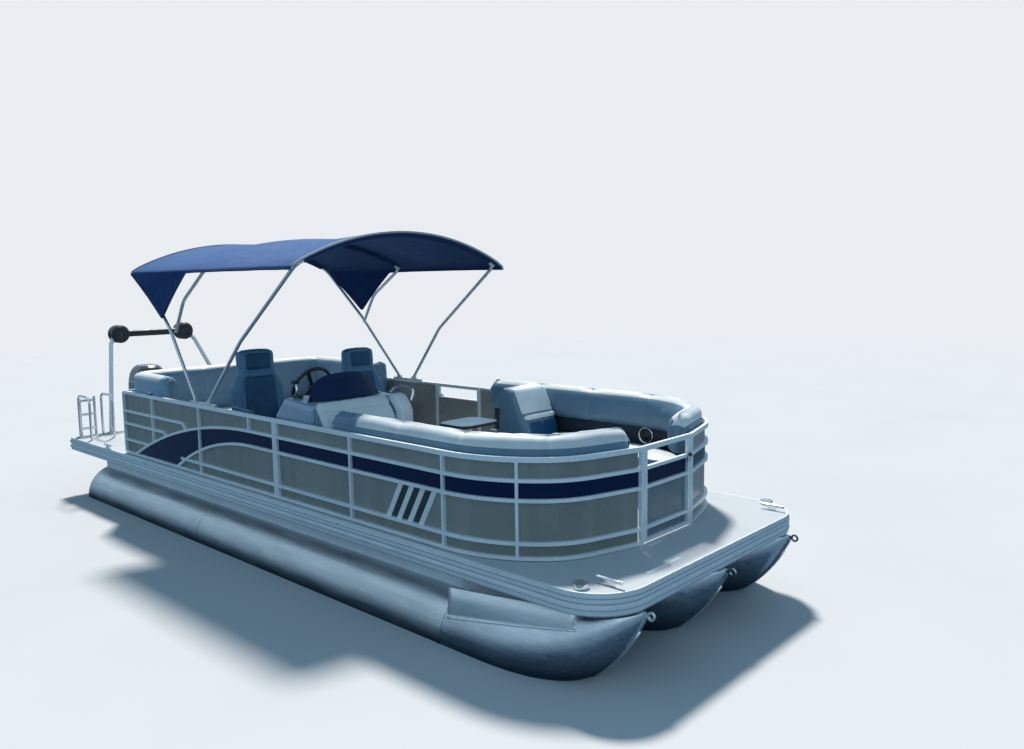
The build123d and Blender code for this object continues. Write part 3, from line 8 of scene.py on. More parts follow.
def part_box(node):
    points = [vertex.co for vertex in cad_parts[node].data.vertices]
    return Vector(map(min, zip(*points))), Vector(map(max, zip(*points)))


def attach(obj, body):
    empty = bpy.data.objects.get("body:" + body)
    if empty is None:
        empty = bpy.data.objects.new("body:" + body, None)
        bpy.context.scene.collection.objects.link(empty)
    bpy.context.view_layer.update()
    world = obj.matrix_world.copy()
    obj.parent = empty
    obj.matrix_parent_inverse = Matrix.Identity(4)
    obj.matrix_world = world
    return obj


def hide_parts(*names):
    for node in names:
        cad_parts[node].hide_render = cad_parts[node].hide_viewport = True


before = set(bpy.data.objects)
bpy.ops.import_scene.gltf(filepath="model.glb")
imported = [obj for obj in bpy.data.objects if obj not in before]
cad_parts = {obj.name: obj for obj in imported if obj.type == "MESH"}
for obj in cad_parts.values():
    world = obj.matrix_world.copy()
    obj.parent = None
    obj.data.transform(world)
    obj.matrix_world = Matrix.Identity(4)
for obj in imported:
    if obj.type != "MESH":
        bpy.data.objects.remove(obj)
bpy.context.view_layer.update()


def node_box(node):
    """A CAD node's low and high corners, to a tenth of a millimetre."""
    return [tuple(round(value, 4) for value in corner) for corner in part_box(node)]


DECK = node_box("deck")[1][2]
FORE, PORT, UP = Vector((1, 0, 0)), Vector((0, 1, 0)), Vector((0, 0, 1))
BOTH_SIDES = ((-1, "starboard"), (1, "port"))
# How far a fitting stands off the CAD's face
CLEAR = 0.0005

# Camera and light

CAMERA_PLACE = (6.571, -4.912, 2.441)
CAMERA_DEGREES = (132.672, -6.439, -0.759)
CAMERA_LENS = 29.27


def set_camera():
    """The photograph's viewpoint, from its yaw, pitch and roll."""
    yaw, pitch, roll = (math.radians(angle) for angle in CAMERA_DEGREES)
    level = math.cos(pitch)
    forward = Vector((math.cos(yaw) * level, math.sin(yaw) * level, math.sin(pitch)))
    right = Vector((math.sin(yaw), -math.cos(yaw), 0))
    up = right.cross(forward)
    across = right * math.cos(roll) + up * math.sin(roll)
    above = up * math.cos(roll) - right * math.sin(roll)
    data = bpy.data.cameras.new("camera")
    data.lens = CAMERA_LENS
    data.sensor_width = 36
    data.clip_end = 500
    camera = bpy.data.objects.new("camera", data)
    turn = Matrix((across, above, -forward)).transposed().to_4x4()
    camera.matrix_world = Matrix.Translation(CAMERA_PLACE) @ turn
    bpy.context.scene.collection.objects.link(camera)
    bpy.context.scene.camera = camera


def lamp(name, kind, place, aim, strength, colour, **more):
    data = bpy.data.lights.new(name, kind)
    data.energy = strength
    data.color = colour
    for key, value in more.items():
        setattr(data, key, value)
    light = bpy.data.objects.new(name, data)
    turn = (Vector(aim) - Vector(place)).to_track_quat("-Z", "Y").to_matrix().to_4x4()
    light.matrix_world = Matrix.Translation(place) @ turn
    bpy.context.scene.collection.objects.link(light)


def background(tree, colour, strength):
    node = tree.nodes.new("ShaderNodeBackground")
    node.inputs["Color"].default_value = (*colour, 1)
    node.inputs["Strength"].default_value = strength
    return node.outputs[0]


def choose(tree, factor, first, second):
    node = tree.nodes.new("ShaderNodeMixShader")
    for socket, value in zip(node.inputs, (factor, first, second)):
        tree.links.new(value, socket)
    return node.outputs[0]


def set_world():
    """A cool fill for the light, a paler sky for reflections, and a plain backdrop."""
    world = bpy.data.worlds.new("world")
    bpy.context.scene.world = world
    world.use_nodes = True
    tree = world.node_tree
    tree.nodes.clear()
    rays = tree.nodes.new("ShaderNodeLightPath").outputs
    seen = tree.nodes.new("ShaderNodeMath")
    seen.operation = "MAXIMUM"
    tree.links.new(rays["Is Camera Ray"], seen.inputs[0])
    tree.links.new(rays["Is Transmission Ray"], seen.inputs[1])
    fill = background(tree, (0.40, 0.74, 1.08), 0.42)
    sky = background(tree, (0.54, 0.75, 0.92), 0.8)
    backdrop = background(tree, (0.82, 0.85, 0.88), 1.0)
    lit = choose(tree, rays["Is Glossy Ray"], fill, sky)
    out = tree.nodes.new("ShaderNodeOutputWorld")
    tree.links.new(choose(tree, seen.outputs[0], lit, backdrop), out.inputs[0])


set_camera()
set_world()
lamp("key", "SUN", (-4.6, 3.5, 8.4), (0, 0, 0), 4.6, (1.0, 0.98, 0.95), angle=math.radians(7))
lamp("fill", "AREA", (9.0, -9.0, 5.5), (0.5, 0, 0.8), 120, (0.66, 0.86, 1.0), shape="DISK", size=8.0)
bpy.context.scene.view_settings.view_transform = "Standard"

# Materials


def shade(colour, factor):
    return tuple(min(1.0, c * factor) for c in colour)


class Look:
    """A procedural material under construction."""

    def __init__(self, name, roughness=0.5, metallic=0.0, coat=0.0, specular=0.5):
        self.mat = bpy.data.materials.new(name)
        self.mat.use_nodes = True
        self.tree = self.mat.node_tree
        self.shader = self.tree.nodes["Principled BSDF"]
        self.set("Roughness", roughness)
        self.set("Metallic", metallic)
        self.set("Coat Weight", coat)
        self.set("Coat Roughness", 0.12)
        self.set("Specular IOR Level", specular)
        self.place = self.tree.nodes.new("ShaderNodeTexCoord").outputs["Object"]
        self.normal = None

    def put(self, socket, value):
        """Link an output to a socket, or set the socket's own value."""
        if isinstance(value, bpy.types.NodeSocket):
            self.tree.links.new(value, socket)
        elif socket.type == "RGBA":
            socket.default_value = (*value, 1)
        else:
            socket.default_value = value

    def set(self, key, value):
        self.put(self.shader.inputs[key], value)
        return self

    def node(self, kind, inputs=(), **props):
        made = self.tree.nodes.new(kind)
        for key, value in props.items():
            setattr(made, key, value)
        for key, value in dict(inputs).items():
            self.put(made.inputs[key], value)
        return made

    def stretched(self, stretch):
        return self.node("ShaderNodeMapping", {"Vector": self.place, "Scale": stretch}).outputs[0]

    def noise(self, scale, detail=2.0, stretch=(1, 1, 1), rough=0.5):
        inputs = {"Vector": self.stretched(stretch), "Scale": scale, "Detail": detail, "Roughness": rough}
        return self.node("ShaderNodeTexNoise", inputs).outputs["Fac"]

    def cells(self, scale, feature="F1"):
        inputs = {"Vector": self.stretched((1, 1, 1)), "Scale": scale}
        return self.node("ShaderNodeTexVoronoi", inputs, feature=feature).outputs["Distance"]

    def waves(self, scale, direction):
        inputs = {"Vector": self.place, "Scale": scale, "Distortion": 0.0, "Detail": 0.0}
        return self.node("ShaderNodeTexWave", inputs, bands_direction=direction).outputs["Fac"]

    def math(self, how, *values):
        return self.node("ShaderNodeMath", enumerate(values), operation=how).outputs[0]

    def times(self, a, b):
        return self.math("MULTIPLY", a, b)

    def off(self, value, middle):
        """How far a value is from a middle one."""
        return self.math("ABSOLUTE", self.math("SUBTRACT", value, middle))

    def fraction(self, value, rate):
        return self.math("FRACT", self.times(value, rate))

    def remap(self, value, low, high, into_low, into_high):
        return self.node("ShaderNodeMapRange", enumerate((value, low, high, into_low, into_high))).outputs[0]

    def ramp(self, value, *stops):
        node = self.node("ShaderNodeValToRGB", {"Fac": value})
        bar = node.color_ramp
        while len(bar.elements) < len(stops):
            bar.elements.new(0.5)
        for element, (position, colour) in zip(bar.elements, stops):
            element.position = position
            element.color = (*colour, 1)
        return node.outputs["Color"]

    def shades(self, value, colour, low, dark, high, pale):
        """A colour from its darker shade, where a value is low, to its paler one, where it is high."""
        return self.ramp(value, (low, shade(colour, dark)), (high, shade(colour, pale)))

    def mix(self, factor, a, b, how="MIX"):
        inputs = {0: factor, 6: a, 7: b}
        return self.node("ShaderNodeMix", inputs, data_type="RGBA", blend_type=how).outputs[2]

    def over(self, tone, value, low, high, start, end, colour):
        """Lay a colour over a tone, by a share from start to end as a value goes from low to high."""
        return self.mix(self.remap(value, low, high, start, end), tone, colour)

    def axis(self, letter):
        return self.node("ShaderNodeSeparateXYZ", {"Vector": self.place}).outputs[letter]

    def attribute(self, name):
        return self.node("ShaderNodeAttribute", attribute_name=name).outputs["Fac"]

    def stitches(self, letter, away, narrow, wide, rate, dash):
        """A dashed row of thread beside the seams of one direction."""
        near = self.remap(self.off(self.attribute(f"seam_{letter}"), away), narrow, wide, 1.0, 0.0)
        run = self.fraction(self.attribute(f"run_{letter}"), rate)
        return self.times(near, self.remap(run, dash, dash + 0.06, 1.0, 0.0))

    def over_water(self):
        """The height over the water, made uneven."""
        return self.math("ADD", self.axis("Z"), self.times(self.noise(2.5, 3), 0.05))

    def colour(self, value):
        return self.set("Base Color", value)

    def rough(self, value, low, high):
        return self.set("Roughness", self.remap(value, 0.3, 0.7, low, high))

    def bump(self, height, strength, distance):
        inputs = {"Height": height, "Strength": strength, "Distance": distance}
        if self.normal is not None:
            inputs["Normal"] = self.normal
        self.normal = self.node("ShaderNodeBump", inputs).outputs[0]
        return self.set("Normal", self.normal)


# Waterline staining, and painted reflection of the dark water under the tubes.
WATER_FILM_AND_REFLECTION = (0.055, 0.105, 0.14)


def speckled(name, colour, spread, grain, bump, **shader):
    """A plain finish with fine grain, soft blotches and uneven gloss."""
    look = Look(name, **shader)
    fine = look.noise(grain, 3)
    tone = look.shades(fine, colour, 0.3, 1 - spread, 0.7, 1 + spread)
    dirty = look.mix(1.0, tone, (0.88, 0.88, 0.88), "MULTIPLY")
    look.colour(look.over(tone, look.noise(1.7, 4), 0.35, 0.65, 0.0, 1.0, dirty))
    look.rough(look.noise(6, 5), shader["roughness"] - 0.08, shader["roughness"] + 0.08)
    return look.bump(fine, bump, 0.0006).mat


def metal_tube():
    look = Look("tube_aluminium", roughness=0.36, metallic=0.85)
    long = look.noise(60, 4, (0.02, 1, 1))
    tone = look.ramp(long, (0.25, (0.60, 0.64, 0.67)), (0.75, (0.74, 0.78, 0.81)))
    tone = look.over(tone, look.noise(3.0, 4), 0.4, 0.75, 0.0, 0.5, (0.47, 0.52, 0.56))
    low = look.over_water()
    # Darker towards the water: waterline staining and painted reflection of the dark water.
    tone = look.over(tone, low, 0.05, 0.26, 0.9, 0.0, WATER_FILM_AND_REFLECTION)
    look.colour(look.over(tone, low, 0.02, 0.11, 0.6, 0.0, (0.045, 0.06, 0.055)))
    look.rough(look.noise(25, 5, (0.1, 1, 1)), 0.26, 0.5)
    return look.bump(long, 0.12, 0.0008).mat


def brushed(name, colour, stretch, roughness=0.34, metallic=0.8, bump=0.08, film_and_reflection=False):
    """Metal with fine draw lines, worn patches and, near the water, a darker band: partly waterline staining,
    partly painted reflection of the water.
    """
    look = Look(name, roughness=roughness, metallic=metallic)
    long = look.noise(220, 3, stretch)
    tone = look.shades(long, colour, 0.3, 0.88, 0.7, 1.1)
    tone = look.over(tone, look.noise(3, 3), 0.45, 0.75, 0.0, 0.35, shade(colour, 0.72))
    # Near the water: waterline staining and painted reflection of the water.
    if film_and_reflection:
        tone = look.over(tone, look.over_water(), 0.05, 0.30, 0.9, 0.0, WATER_FILM_AND_REFLECTION)
    look.colour(tone)
    look.rough(look.noise(40, 4, stretch), roughness - 0.09, roughness + 0.12)
    return look.bump(long, bump, 0.0004).mat


def deck_floor():
    look = Look("deck_floor", roughness=0.82, specular=0.25)
    weave = look.times(look.waves(110, "X"), look.waves(110, "Y"))
    fleck = look.noise(700, 2)
    tone = look.ramp(fleck, (0.36, (0.29, 0.31, 0.32)), (0.5, (0.53, 0.55, 0.56)), (0.64, (0.75, 0.77, 0.78)))
    tone = look.mix(look.times(weave, 0.2), tone, (0.28, 0.30, 0.31))
    look.colour(look.over(tone, look.noise(1.3, 5), 0.42, 0.66, 0.0, 0.4, (0.46, 0.47, 0.47)))
    look.rough(look.noise(9, 4), 0.7, 0.92)
    return look.bump(weave, 0.35, 0.0012).bump(fleck, 0.2, 0.0006).mat


def trim_finish():
    """Extruded edge: long grooves between bright ribs, darkened as painted shade, fine draw lines, small
    scuffs.
    """
    groove_foot, grooves_per_metre = 0.5135, 28.5
    look = Look("edge_trim", roughness=0.34, metallic=0.2)
    long = look.noise(180, 3, (0.03, 1, 1))
    tone = look.ramp(long, (0.3, (0.74, 0.78, 0.80)), (0.7, (0.84, 0.87, 0.89)))
    step = look.fraction(look.math("SUBTRACT", look.axis("Z"), groove_foot), grooves_per_metre)
    groove = look.remap(look.off(step, 0.5), 0.36, 0.46, 0.0, 1.0)
    groove = look.times(groove, look.remap(look.axis("Z"), DECK - 0.006, DECK - 0.002, 1.0, 0.0))
    # The grooves are darkened as painted shade, as well as bumped.
    tone = look.mix(look.times(groove, 0.7), tone, (0.16, 0.20, 0.24))
    scuff = look.noise(9, 4, (0.4, 1, 2))
    look.colour(look.over(tone, scuff, 0.5, 0.8, 0.0, 0.22, (0.36, 0.40, 0.43)))
    look.rough(look.noise(30, 4, (0.1, 1, 1)), 0.24, 0.44)
    return look.bump(groove, -0.7, 0.006).bump(long, 0.05, 0.0005).mat


def fence_panel(name, colour):
    """Painted sheet with pale upright streaks of painted reflection, darker just over the deck."""
    look = Look(name, roughness=0.34, coat=0.12, specular=0.4)
    fine = look.noise(900, 2)
    tone = look.shades(look.noise(1.1, 3, (1, 1, 0.4)), colour, 0.35, 0.88, 0.65, 1.1)
    tone = look.mix(look.times(fine, 0.12), tone, shade(colour, 1.3))
    # Pale upright streaks: painted reflections.
    tone = look.over(tone, look.noise(9, 3, (1, 1, 0.03)), 0.42, 0.68, 0.0, 0.4, shade(colour, 1.45))
    look.colour(look.over(tone, look.axis("Z"), 0.66, 0.80, 0.35, 0.0, shade(colour, 0.6)))
    look.rough(look.noise(7, 4), 0.22, 0.38)
    return look.bump(look.noise(5.0, 3, (1, 1, 0.6)), 0.12, 0.004).bump(fine, 0.04, 0.0004).mat


def stripe_finish():
    look = Look("stripe_finish", roughness=0.26, specular=0.1)
    tone = look.ramp(look.noise(1100, 2), (0.3, (0.003, 0.012, 0.045)), (0.72, (0.007, 0.023, 0.078)))
    look.colour(look.over(tone, look.noise(3, 5), 0.45, 0.7, 0.0, 0.35, (0.012, 0.026, 0.062)))
    look.rough(look.noise(14, 5), 0.1, 0.26)
    return look.bump(look.noise(6, 3), 0.08, 0.003).mat


def vinyl(name, colour, dark=0.8):
    """Marine vinyl: leather grain, soft creases, painted shade along each seam, and stitches beside each
    seam.
    """
    look = Look(name, roughness=0.46, coat=0.08, specular=0.4)
    grain = look.cells(420, "DISTANCE_TO_EDGE")
    tone = look.shades(look.noise(5.5, 5), colour, 0.3, 0.93, 0.7, 1.05)
    tone = look.over(tone, grain, 0.0, 0.12, 0.28, 0.0, shade(colour, dark * 0.9))
    for letter in "ab":
        # Darker along each pinched seam: painted shade.
        fold = look.attribute(f"seam_{letter}")
        tone = look.over(tone, fold, 0.0, 0.006, 0.5, 0.0, shade(colour, dark * 0.55))
    rows = [look.stitches(letter, 0.009, 0.0007, 0.0014, 125.0, 0.62) for letter in "ab"]
    thread = look.math("MAXIMUM", *rows)
    look.colour(look.mix(look.times(thread, 0.8), tone, shade(colour, 1.5)))
    look.rough(look.noise(16, 4), 0.39, 0.56)
    look.bump(look.noise(26, 5, rough=0.6), 0.18, 0.004).bump(grain, 0.3, 0.0007)
    return look.bump(look.noise(1400, 2), 0.08, 0.0003).bump(thread, 0.6, 0.0012).mat


def canvas():
    """Woven marine canvas: cross weave, uneven dye, sewn seams, a paler top that is a painted highlight, a
    greyer underside that is painted shade, and a soft sheen.
    """
    look = Look("canvas_navy", roughness=0.72, specular=0.12)
    look.set("Sheen Weight", 0.4).set("Sheen Roughness", 0.35).set("Sheen Tint", (0.30, 0.55, 1.0))
    threads = look.math("ADD", look.noise(900, 1, (1, 0.08, 0.08)), look.noise(900, 1, (0.08, 1, 0.3)))
    weave = look.times(threads, 0.5)
    tone = look.ramp(weave, (0.35, (0.003, 0.021, 0.088)), (0.65, (0.007, 0.040, 0.150)))
    tone = look.over(tone, look.noise(0.9, 4), 0.38, 0.66, 0.0, 0.45, (0.010, 0.055, 0.185))
    normal = look.node("ShaderNodeNewGeometry").outputs["Normal"]
    facing_up = look.node("ShaderNodeSeparateXYZ", {0: normal}).outputs["Z"]
    # Paler where the cloth faces up: a painted highlight of the sky's sheen.
    tone = look.over(tone, facing_up, 0.55, 0.96, 0.0, 0.55, (0.075, 0.155, 0.33))
    # Greyer where it faces down: painted shade on the underside.
    tone = look.over(tone, facing_up, -0.9, -0.3, 0.5, 0.0, (0.018, 0.026, 0.045))
    thread = look.stitches("a", 0.008, 0.0008, 0.0016, 160.0, 0.6)
    tone = look.over(tone, look.attribute("seam_a"), 0.0, 0.014, 0.6, 0.0, (0.004, 0.014, 0.050))
    look.colour(look.mix(look.times(thread, 0.7), tone, (0.08, 0.13, 0.25)))
    look.rough(look.noise(12, 4), 0.62, 0.85)
    look.bump(weave, 0.25, 0.0008).bump(look.noise(7, 5), 0.2, 0.006)
    return look.bump(thread, 0.5, 0.001).mat


def channelled(name, colour):
    """Ribbed vinyl for the inner panels of the chairs, with painted shade in the grooves between the ribs."""
    look = Look(name, roughness=0.5, coat=0.06, specular=0.4)
    grain = look.cells(420, "DISTANCE_TO_EDGE")
    tone = look.shades(look.noise(9, 5), colour, 0.3, 0.82, 0.7, 1.2)
    tone = look.over(tone, grain, 0.0, 0.12, 0.35, 0.0, shade(colour, 0.6))
    rib = look.remap(look.attribute("seam_b"), 0.0, 0.010, 1.0, 0.0)
    # Darker in the grooves between ribs: painted shade.
    tone = look.mix(look.times(rib, 0.6), tone, shade(colour, 0.35))
    thread = look.stitches("b", 0.0, 0.0008, 0.0018, 140.0, 0.6)
    look.colour(look.mix(look.times(thread, 0.6), tone, shade(colour, 3.0)))
    look.rough(look.noise(18, 4), 0.42, 0.6)
    return look.bump(look.noise(30, 5), 0.2, 0.003).bump(grain, 0.3, 0.0006).bump(rib, -0.3, 0.003).mat


def tinted():
    look = Look("tinted_screen", roughness=0.16, specular=0.1)
    smear = look.noise(4, 6, (1, 1, 3))
    look.colour(look.ramp(smear, (0.3, (0.002, 0.018, 0.062)), (0.7, (0.004, 0.030, 0.095))))
    look.rough(smear, 0.03, 0.14).set("Alpha", 0.94)
    return look.bump(look.noise(3, 2), 0.03, 0.002).mat


def black_paint():
    colour = (0.010, 0.012, 0.015)
    look = Look("black_paint", roughness=0.2, coat=0.7)
    tone = look.shades(look.noise(1500, 2), colour, 0.35, 0.75, 0.7, 1.35)
    look.colour(look.over(tone, look.noise(4, 7), 0.55, 0.75, 0.0, 0.3, shade(colour, 2.4)))
    look.rough(look.noise(20, 5), 0.14, 0.34)
    return look.bump(look.noise(500, 2), 0.05, 0.0004).mat


def plastic(name, colour, roughness, grain, depth):
    """Moulded plastic: pebbled, unevenly glossy, with small scuffs."""
    look = Look(name, roughness=roughness)
    tone = look.shades(look.noise(40, 4), colour, 0.3, 0.85, 0.7, 1.15)
    scuff = look.noise(60, 8, (1, 0.2, 1))
    look.colour(look.over(tone, scuff, 0.6, 0.72, 0.0, 0.35, shade(colour, 1.6)))
    look.rough(look.noise(22, 4), roughness - 0.1, roughness + 0.12)
    return look.bump(look.cells(grain), depth, 0.0006).mat


def floor_finish():
    """Pale to the eye, darker in reflections, and fading out far from the boat."""
    look = Look("studio_floor", roughness=0.9, specular=0.1)
    seen = look.node("ShaderNodeLightPath").outputs["Is Camera Ray"]
    pale = look.ramp(look.noise(0.35, 3), (0.3, (0.55, 0.55, 0.545)), (0.7, (0.575, 0.575, 0.57)))
    look.colour(look.mix(seen, (0.09, 0.15, 0.20), pale))
    away = look.node("ShaderNodeVectorMath", {0: look.place}, operation="LENGTH").outputs["Value"]
    return look.set("Alpha", look.remap(away, 9.0, 34.0, 1.0, 0.0)).mat


# Stretches of a noise that turn it into draw lines, along the boat or upright
ALONG, UPRIGHT = (0.02, 1, 1), (1, 1, 0.15)
LOOKS = {
    "deck_vinyl": deck_floor(),
    "bright_trim": trim_finish(),
    "brushed_metal": metal_tube(),
    "silver_rail": brushed("silver_rail", (0.82, 0.86, 0.88), UPRIGHT, 0.38, 0.2),
    "taupe_panel": fence_panel("fence_panel", (0.235, 0.242, 0.217)),
    "navy_stripe": stripe_finish(),
    "moulded_base": plastic("moulded_base", (0.20, 0.24, 0.28), 0.6, 500, 0.35),
    "console_shell": speckled("console_shell", (0.33, 0.44, 0.55), 0.03, 700, 0.05, roughness=0.3, coat=0.3),
    "tinted_screen": tinted(),
    "black_plastic": plastic("black_plastic", (0.012, 0.013, 0.015), 0.45, 900, 0.25),
    "anodised_tube": brushed("anodised_tube", (0.66, 0.69, 0.70), (1, 1, 0.05), 0.3, 0.7),
    "chrome_bright": brushed("chrome_bright", (0.72, 0.74, 0.76), (0.2, 0.2, 1), 0.14, 1.0, 0.03),
    "black_paint": black_paint(),
}
NODE_LOOKS = {
    "table": speckled("table_top", (0.84, 0.87, 0.88), 0.05, 500, 0.08, roughness=0.35),
    "nosecones": brushed("nosecone_metal", (0.66, 0.71, 0.76), (0.03, 1, 1), 0.33, 0.88, 0.01, True),
    "risers": brushed("riser_skin", (0.90, 0.93, 0.95), ALONG, 0.4, 0.1),
    "bow_gate_panel": fence_panel("gate_panel", (0.15, 0.195, 0.225)),
}
VINYL_LIGHT = vinyl("vinyl_light", (0.70, 0.72, 0.72), 0.85)
# A paler panel than the light vinyl, its extra paleness painted sunlight on the chaise's head panel and roll.
VINYL_PALE_SUNLIT = vinyl("vinyl_pale_sunlit", (0.90, 0.92, 0.92), 0.85)
# Blue-grey vinyl for sides and ends: two-tone, and also the light vinyl's painted shade.
VINYL_SIDE_SHADED = vinyl("vinyl_side_shaded", (0.125, 0.225, 0.315))
# The stern's blue-grey vinyl, lighter than the side vinyl: painted sunlight on the stern's inner faces.
VINYL_STERN_LIT = vinyl("vinyl_stern_lit", (0.22, 0.36, 0.48))
CHAIR_SHELL = vinyl("chair_shell", (0.092, 0.225, 0.355))
CHAIR_PANEL = channelled("chair_panel", (0.005, 0.075, 0.170))
CANVAS = canvas()
WELT = speckled("welt_pale", (0.42, 0.45, 0.46), 0.1, 500, 0.3, roughness=0.7)
# Near-black panel under the bow backrests: painted shade in the recess.
RECESS_SHADE = plastic("recess_shade_panel", (0.018, 0.030, 0.045), 0.6, 700, 0.3)
GRILLE = plastic("speaker_cone", (0.02, 0.022, 0.026), 0.5, 260, 0.8)
CHROME = LOOKS["chrome_bright"]
BLACK = LOOKS["black_plastic"]
SCREEN = LOOKS["tinted_screen"]
WHITE_GRIP = speckled("white_grip", (0.72, 0.76, 0.78), 0.06, 800, 0.5, roughness=0.8)
NOSE_TRIM = brushed("nose_trim", (0.88, 0.90, 0.91), (0.05, 1, 1), 0.34, 0.6, 0.02)
# Dark sheets on the fence: painted shadows of the slats.
SLAT_PAINTED_SHADOW = plastic("slat_gap", (0.012, 0.024, 0.026), 0.5, 900, 0.2)
DIAL = plastic("dial_face", (0.010, 0.020, 0.032), 0.25, 300, 0.05)
CONSOLE_TRIM = speckled("console_trim", (0.33, 0.40, 0.47), 0.03, 700, 0.06, roughness=0.36, coat=0.2)
LOCKER = plastic("locker_door", (0.26, 0.30, 0.33), 0.55, 600, 0.3)


def dress_nodes():
    """Give each carried-over CAD node its own finish, or else that of the slot it names."""
    for name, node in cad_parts.items():
        for slot in node.material_slots:
            key = slot.material.name.split(".")[0] if slot.material else "silver_rail"
            slot.material = NODE_LOOKS.get(name, LOOKS.get(key, VINYL_LIGHT))


dress_nodes()

# Mesh tools

# Steps round each corner of a section
CORNER = 4


def make(name, points, faces, looks, picks=None, body="hull", slot=None):
    """One smooth mesh object in the boat's frame, riding on a body."""
    mesh = bpy.data.meshes.new(name)
    mesh.from_pydata([tuple(p) for p in points], [], faces)
    for look in looks:
        mesh.materials.append(look)
    mesh.polygons.foreach_set("use_smooth", [True] * len(faces))
    if picks:
        mesh.polygons.foreach_set("material_index", picks)
    mesh.update()
    piece = bpy.data.objects.new(name, mesh)
    bpy.context.scene.collection.objects.link(piece)
    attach(piece, body)
    return piece


def face_out(piece):
    """Turn the faces of a closed form outwards."""
    shell = bmesh.new()
    shell.from_mesh(piece.data)
    bmesh.ops.recalc_face_normals(shell, faces=shell.faces)
    shell.to_mesh(piece.data)
    shell.free()


def give(piece, **values):
    """Store a value of each name at each point, for the materials to read."""
    for key, numbers in values.items():
        piece.data.attributes.new(key, "FLOAT", "POINT").data.foreach_set("value", numbers)


def lerp(a, b, t):
    return a + (b - a) * t


def span(start, end, step=0.02):
    """Evenly spaced values from start to end."""
    count = max(2, round(abs(end - start) / step))
    return [lerp(start, end, i / count) for i in range(count + 1)]


def smooth_path(points, steps=5):
    """A Catmull-Rom curve through points."""
    pts = [Vector(p) for p in points]
    pts = [pts[0] * 2 - pts[1]] + pts + [pts[-1] * 2 - pts[-2]]
    path = []
    for a, b, c, d in zip(pts, pts[1:], pts[2:], pts[3:]):
        for k in range(steps):
            t = k / steps
            bend = (2 * a - 5 * b + 4 * c - d) * t ** 2 + (3 * b - a - 3 * c + d) * t ** 3
            path.append(0.5 * (2 * b + (c - a) * t + bend))
    return path + [pts[-2]]


def bands(rows, count, wrap=True, start=0, loop=False):
    """Faces between neighbouring rows of points; each row may close, and the last row may join the first."""
    faces = []
    for i in range(rows if loop else rows - 1):
        a, b = start + i * count, start + (i + 1) % rows * count
        for j in range(count if wrap else count - 1):
            k = (j + 1) % count
            faces.append((a + j, a + k, b + k, b + j))
    return faces


def fan(row, tip):
    """Triangles from a closed row of points to a tip."""
    return [(a, b, tip) for a, b in zip(row, row[1:] + row[:1])]


def loft(name, rows, look, body="hull", slot="brushed_metal", smooth=True):
    """A closed form through rows of points, with a face over each end."""
    count = len(rows[0])
    faces = bands(len(rows), count)
    faces += [tuple(range(count)), tuple((len(rows) - 1) * count + j for j in reversed(range(count)))]
    piece = make(name, [p for row in rows for p in row], faces, [look], None, body, slot)
    face_out(piece)
    if not smooth:
        piece.data.polygons.foreach_set("use_smooth", [False] * len(faces))
    return piece


def square_axes(axis):
    """A unit axis and two directions square to it."""
    axis = Vector(axis).normalized()
    side = axis.orthogonal().normalized()
    return axis, side, axis.cross(side)


def spokes(side, other, count):
    """Directions round a circle."""
    angles = [2 * math.pi * k / count for k in range(count)]
    return [side * math.cos(angle) + other * math.sin(angle) for angle in angles]


def tube(name, path, radius, look, body="hull", slot="silver_rail", closed=False, sides=10):
    """A round bar or piping along points."""
    path = [Vector(p) for p in path]
    points = []
    side = None
    for i, p in enumerate(path):
        before = path[i - 1] if i or closed else p
        after = path[(i + 1) % len(path)] if i < len(path) - 1 or closed else p
        along = (after - before).normalized()
        side = side or along.orthogonal().normalized()
        side = (side - along * side.dot(along)).normalized()
        points += [p + spoke * radius for spoke in spokes(side, along.cross(side), sides)]
    faces = bands(len(path), sides, loop=closed)
    if not closed:
        start, end = len(points), len(points) + 1
        faces += [tri[::-1] for tri in fan(list(range(sides)), start)]
        faces += fan(list(range(start - sides, start)), end)
        points += [path[0], path[-1]]
    return make(name, points, faces, [look], None, body, slot)


def turned(name, place, axis, profile, looks, picks=None, body="hull", slot="black_plastic", sides=40):
    """A turned form: profile rows (radius, along) round an axis, and a look for each band."""
    axis, side, other = square_axes(axis)
    ring = spokes(side, other, sides)
    points = [Vector(place) + axis * along + spoke * radius for radius, along in profile for spoke in ring]
    index = [pick for pick in picks or [0] * (len(profile) - 1) for spoke in ring]
    return make(name, points, bands(len(profile), sides), looks, index, body, slot)


def box_ring(left, right, low, high, radii, crown=(0, 0, 0, 0), sides=(6, 8, 6, 6), corner=4):
    """A rounded, crowned section as points (across, up): up the left side, over the top, down the
    right and back along the bottom."""
    r0, r1, r2, r3 = radii
    corners = [
        (left + r1, high - r1, r1, 180), (right - r2, high - r2, r2, 90),
        (right - r3, low + r3, r3, 0), (left + r0, low + r0, r0, 270),
    ]
    starts = [(left, low + r0), (left + r1, high), (right, high - r2), (right - r3, low)]
    ends = [(left, high - r1), (right - r2, high), (right, low + r3), (left + r0, low)]
    out = [(-1, 0), (0, 1), (1, 0), (0, -1)]
    ring = []
    for a, b, way, rise, n, (cx, cy, r, start) in zip(starts, ends, out, crown, sides, corners):
        for k in range(n):
            t = k / n
            puff = rise * math.sin(math.pi * t)
            ring.append((lerp(a[0], b[0], t) + way[0] * puff, lerp(a[1], b[1], t) + way[1] * puff))
        for k in range(corner):
            angle = math.radians(start - 90 * k / corner)
            ring.append((cx + r * math.cos(angle), cy + r * math.sin(angle)))
    return ring


def ring_row(sides, corner, part, t=0.0):
    """The number of a row in box_ring: part 0 to 3 is a side, and t a place along it."""
    return sum(sides[:part]) + corner * part + round(t * sides[part])


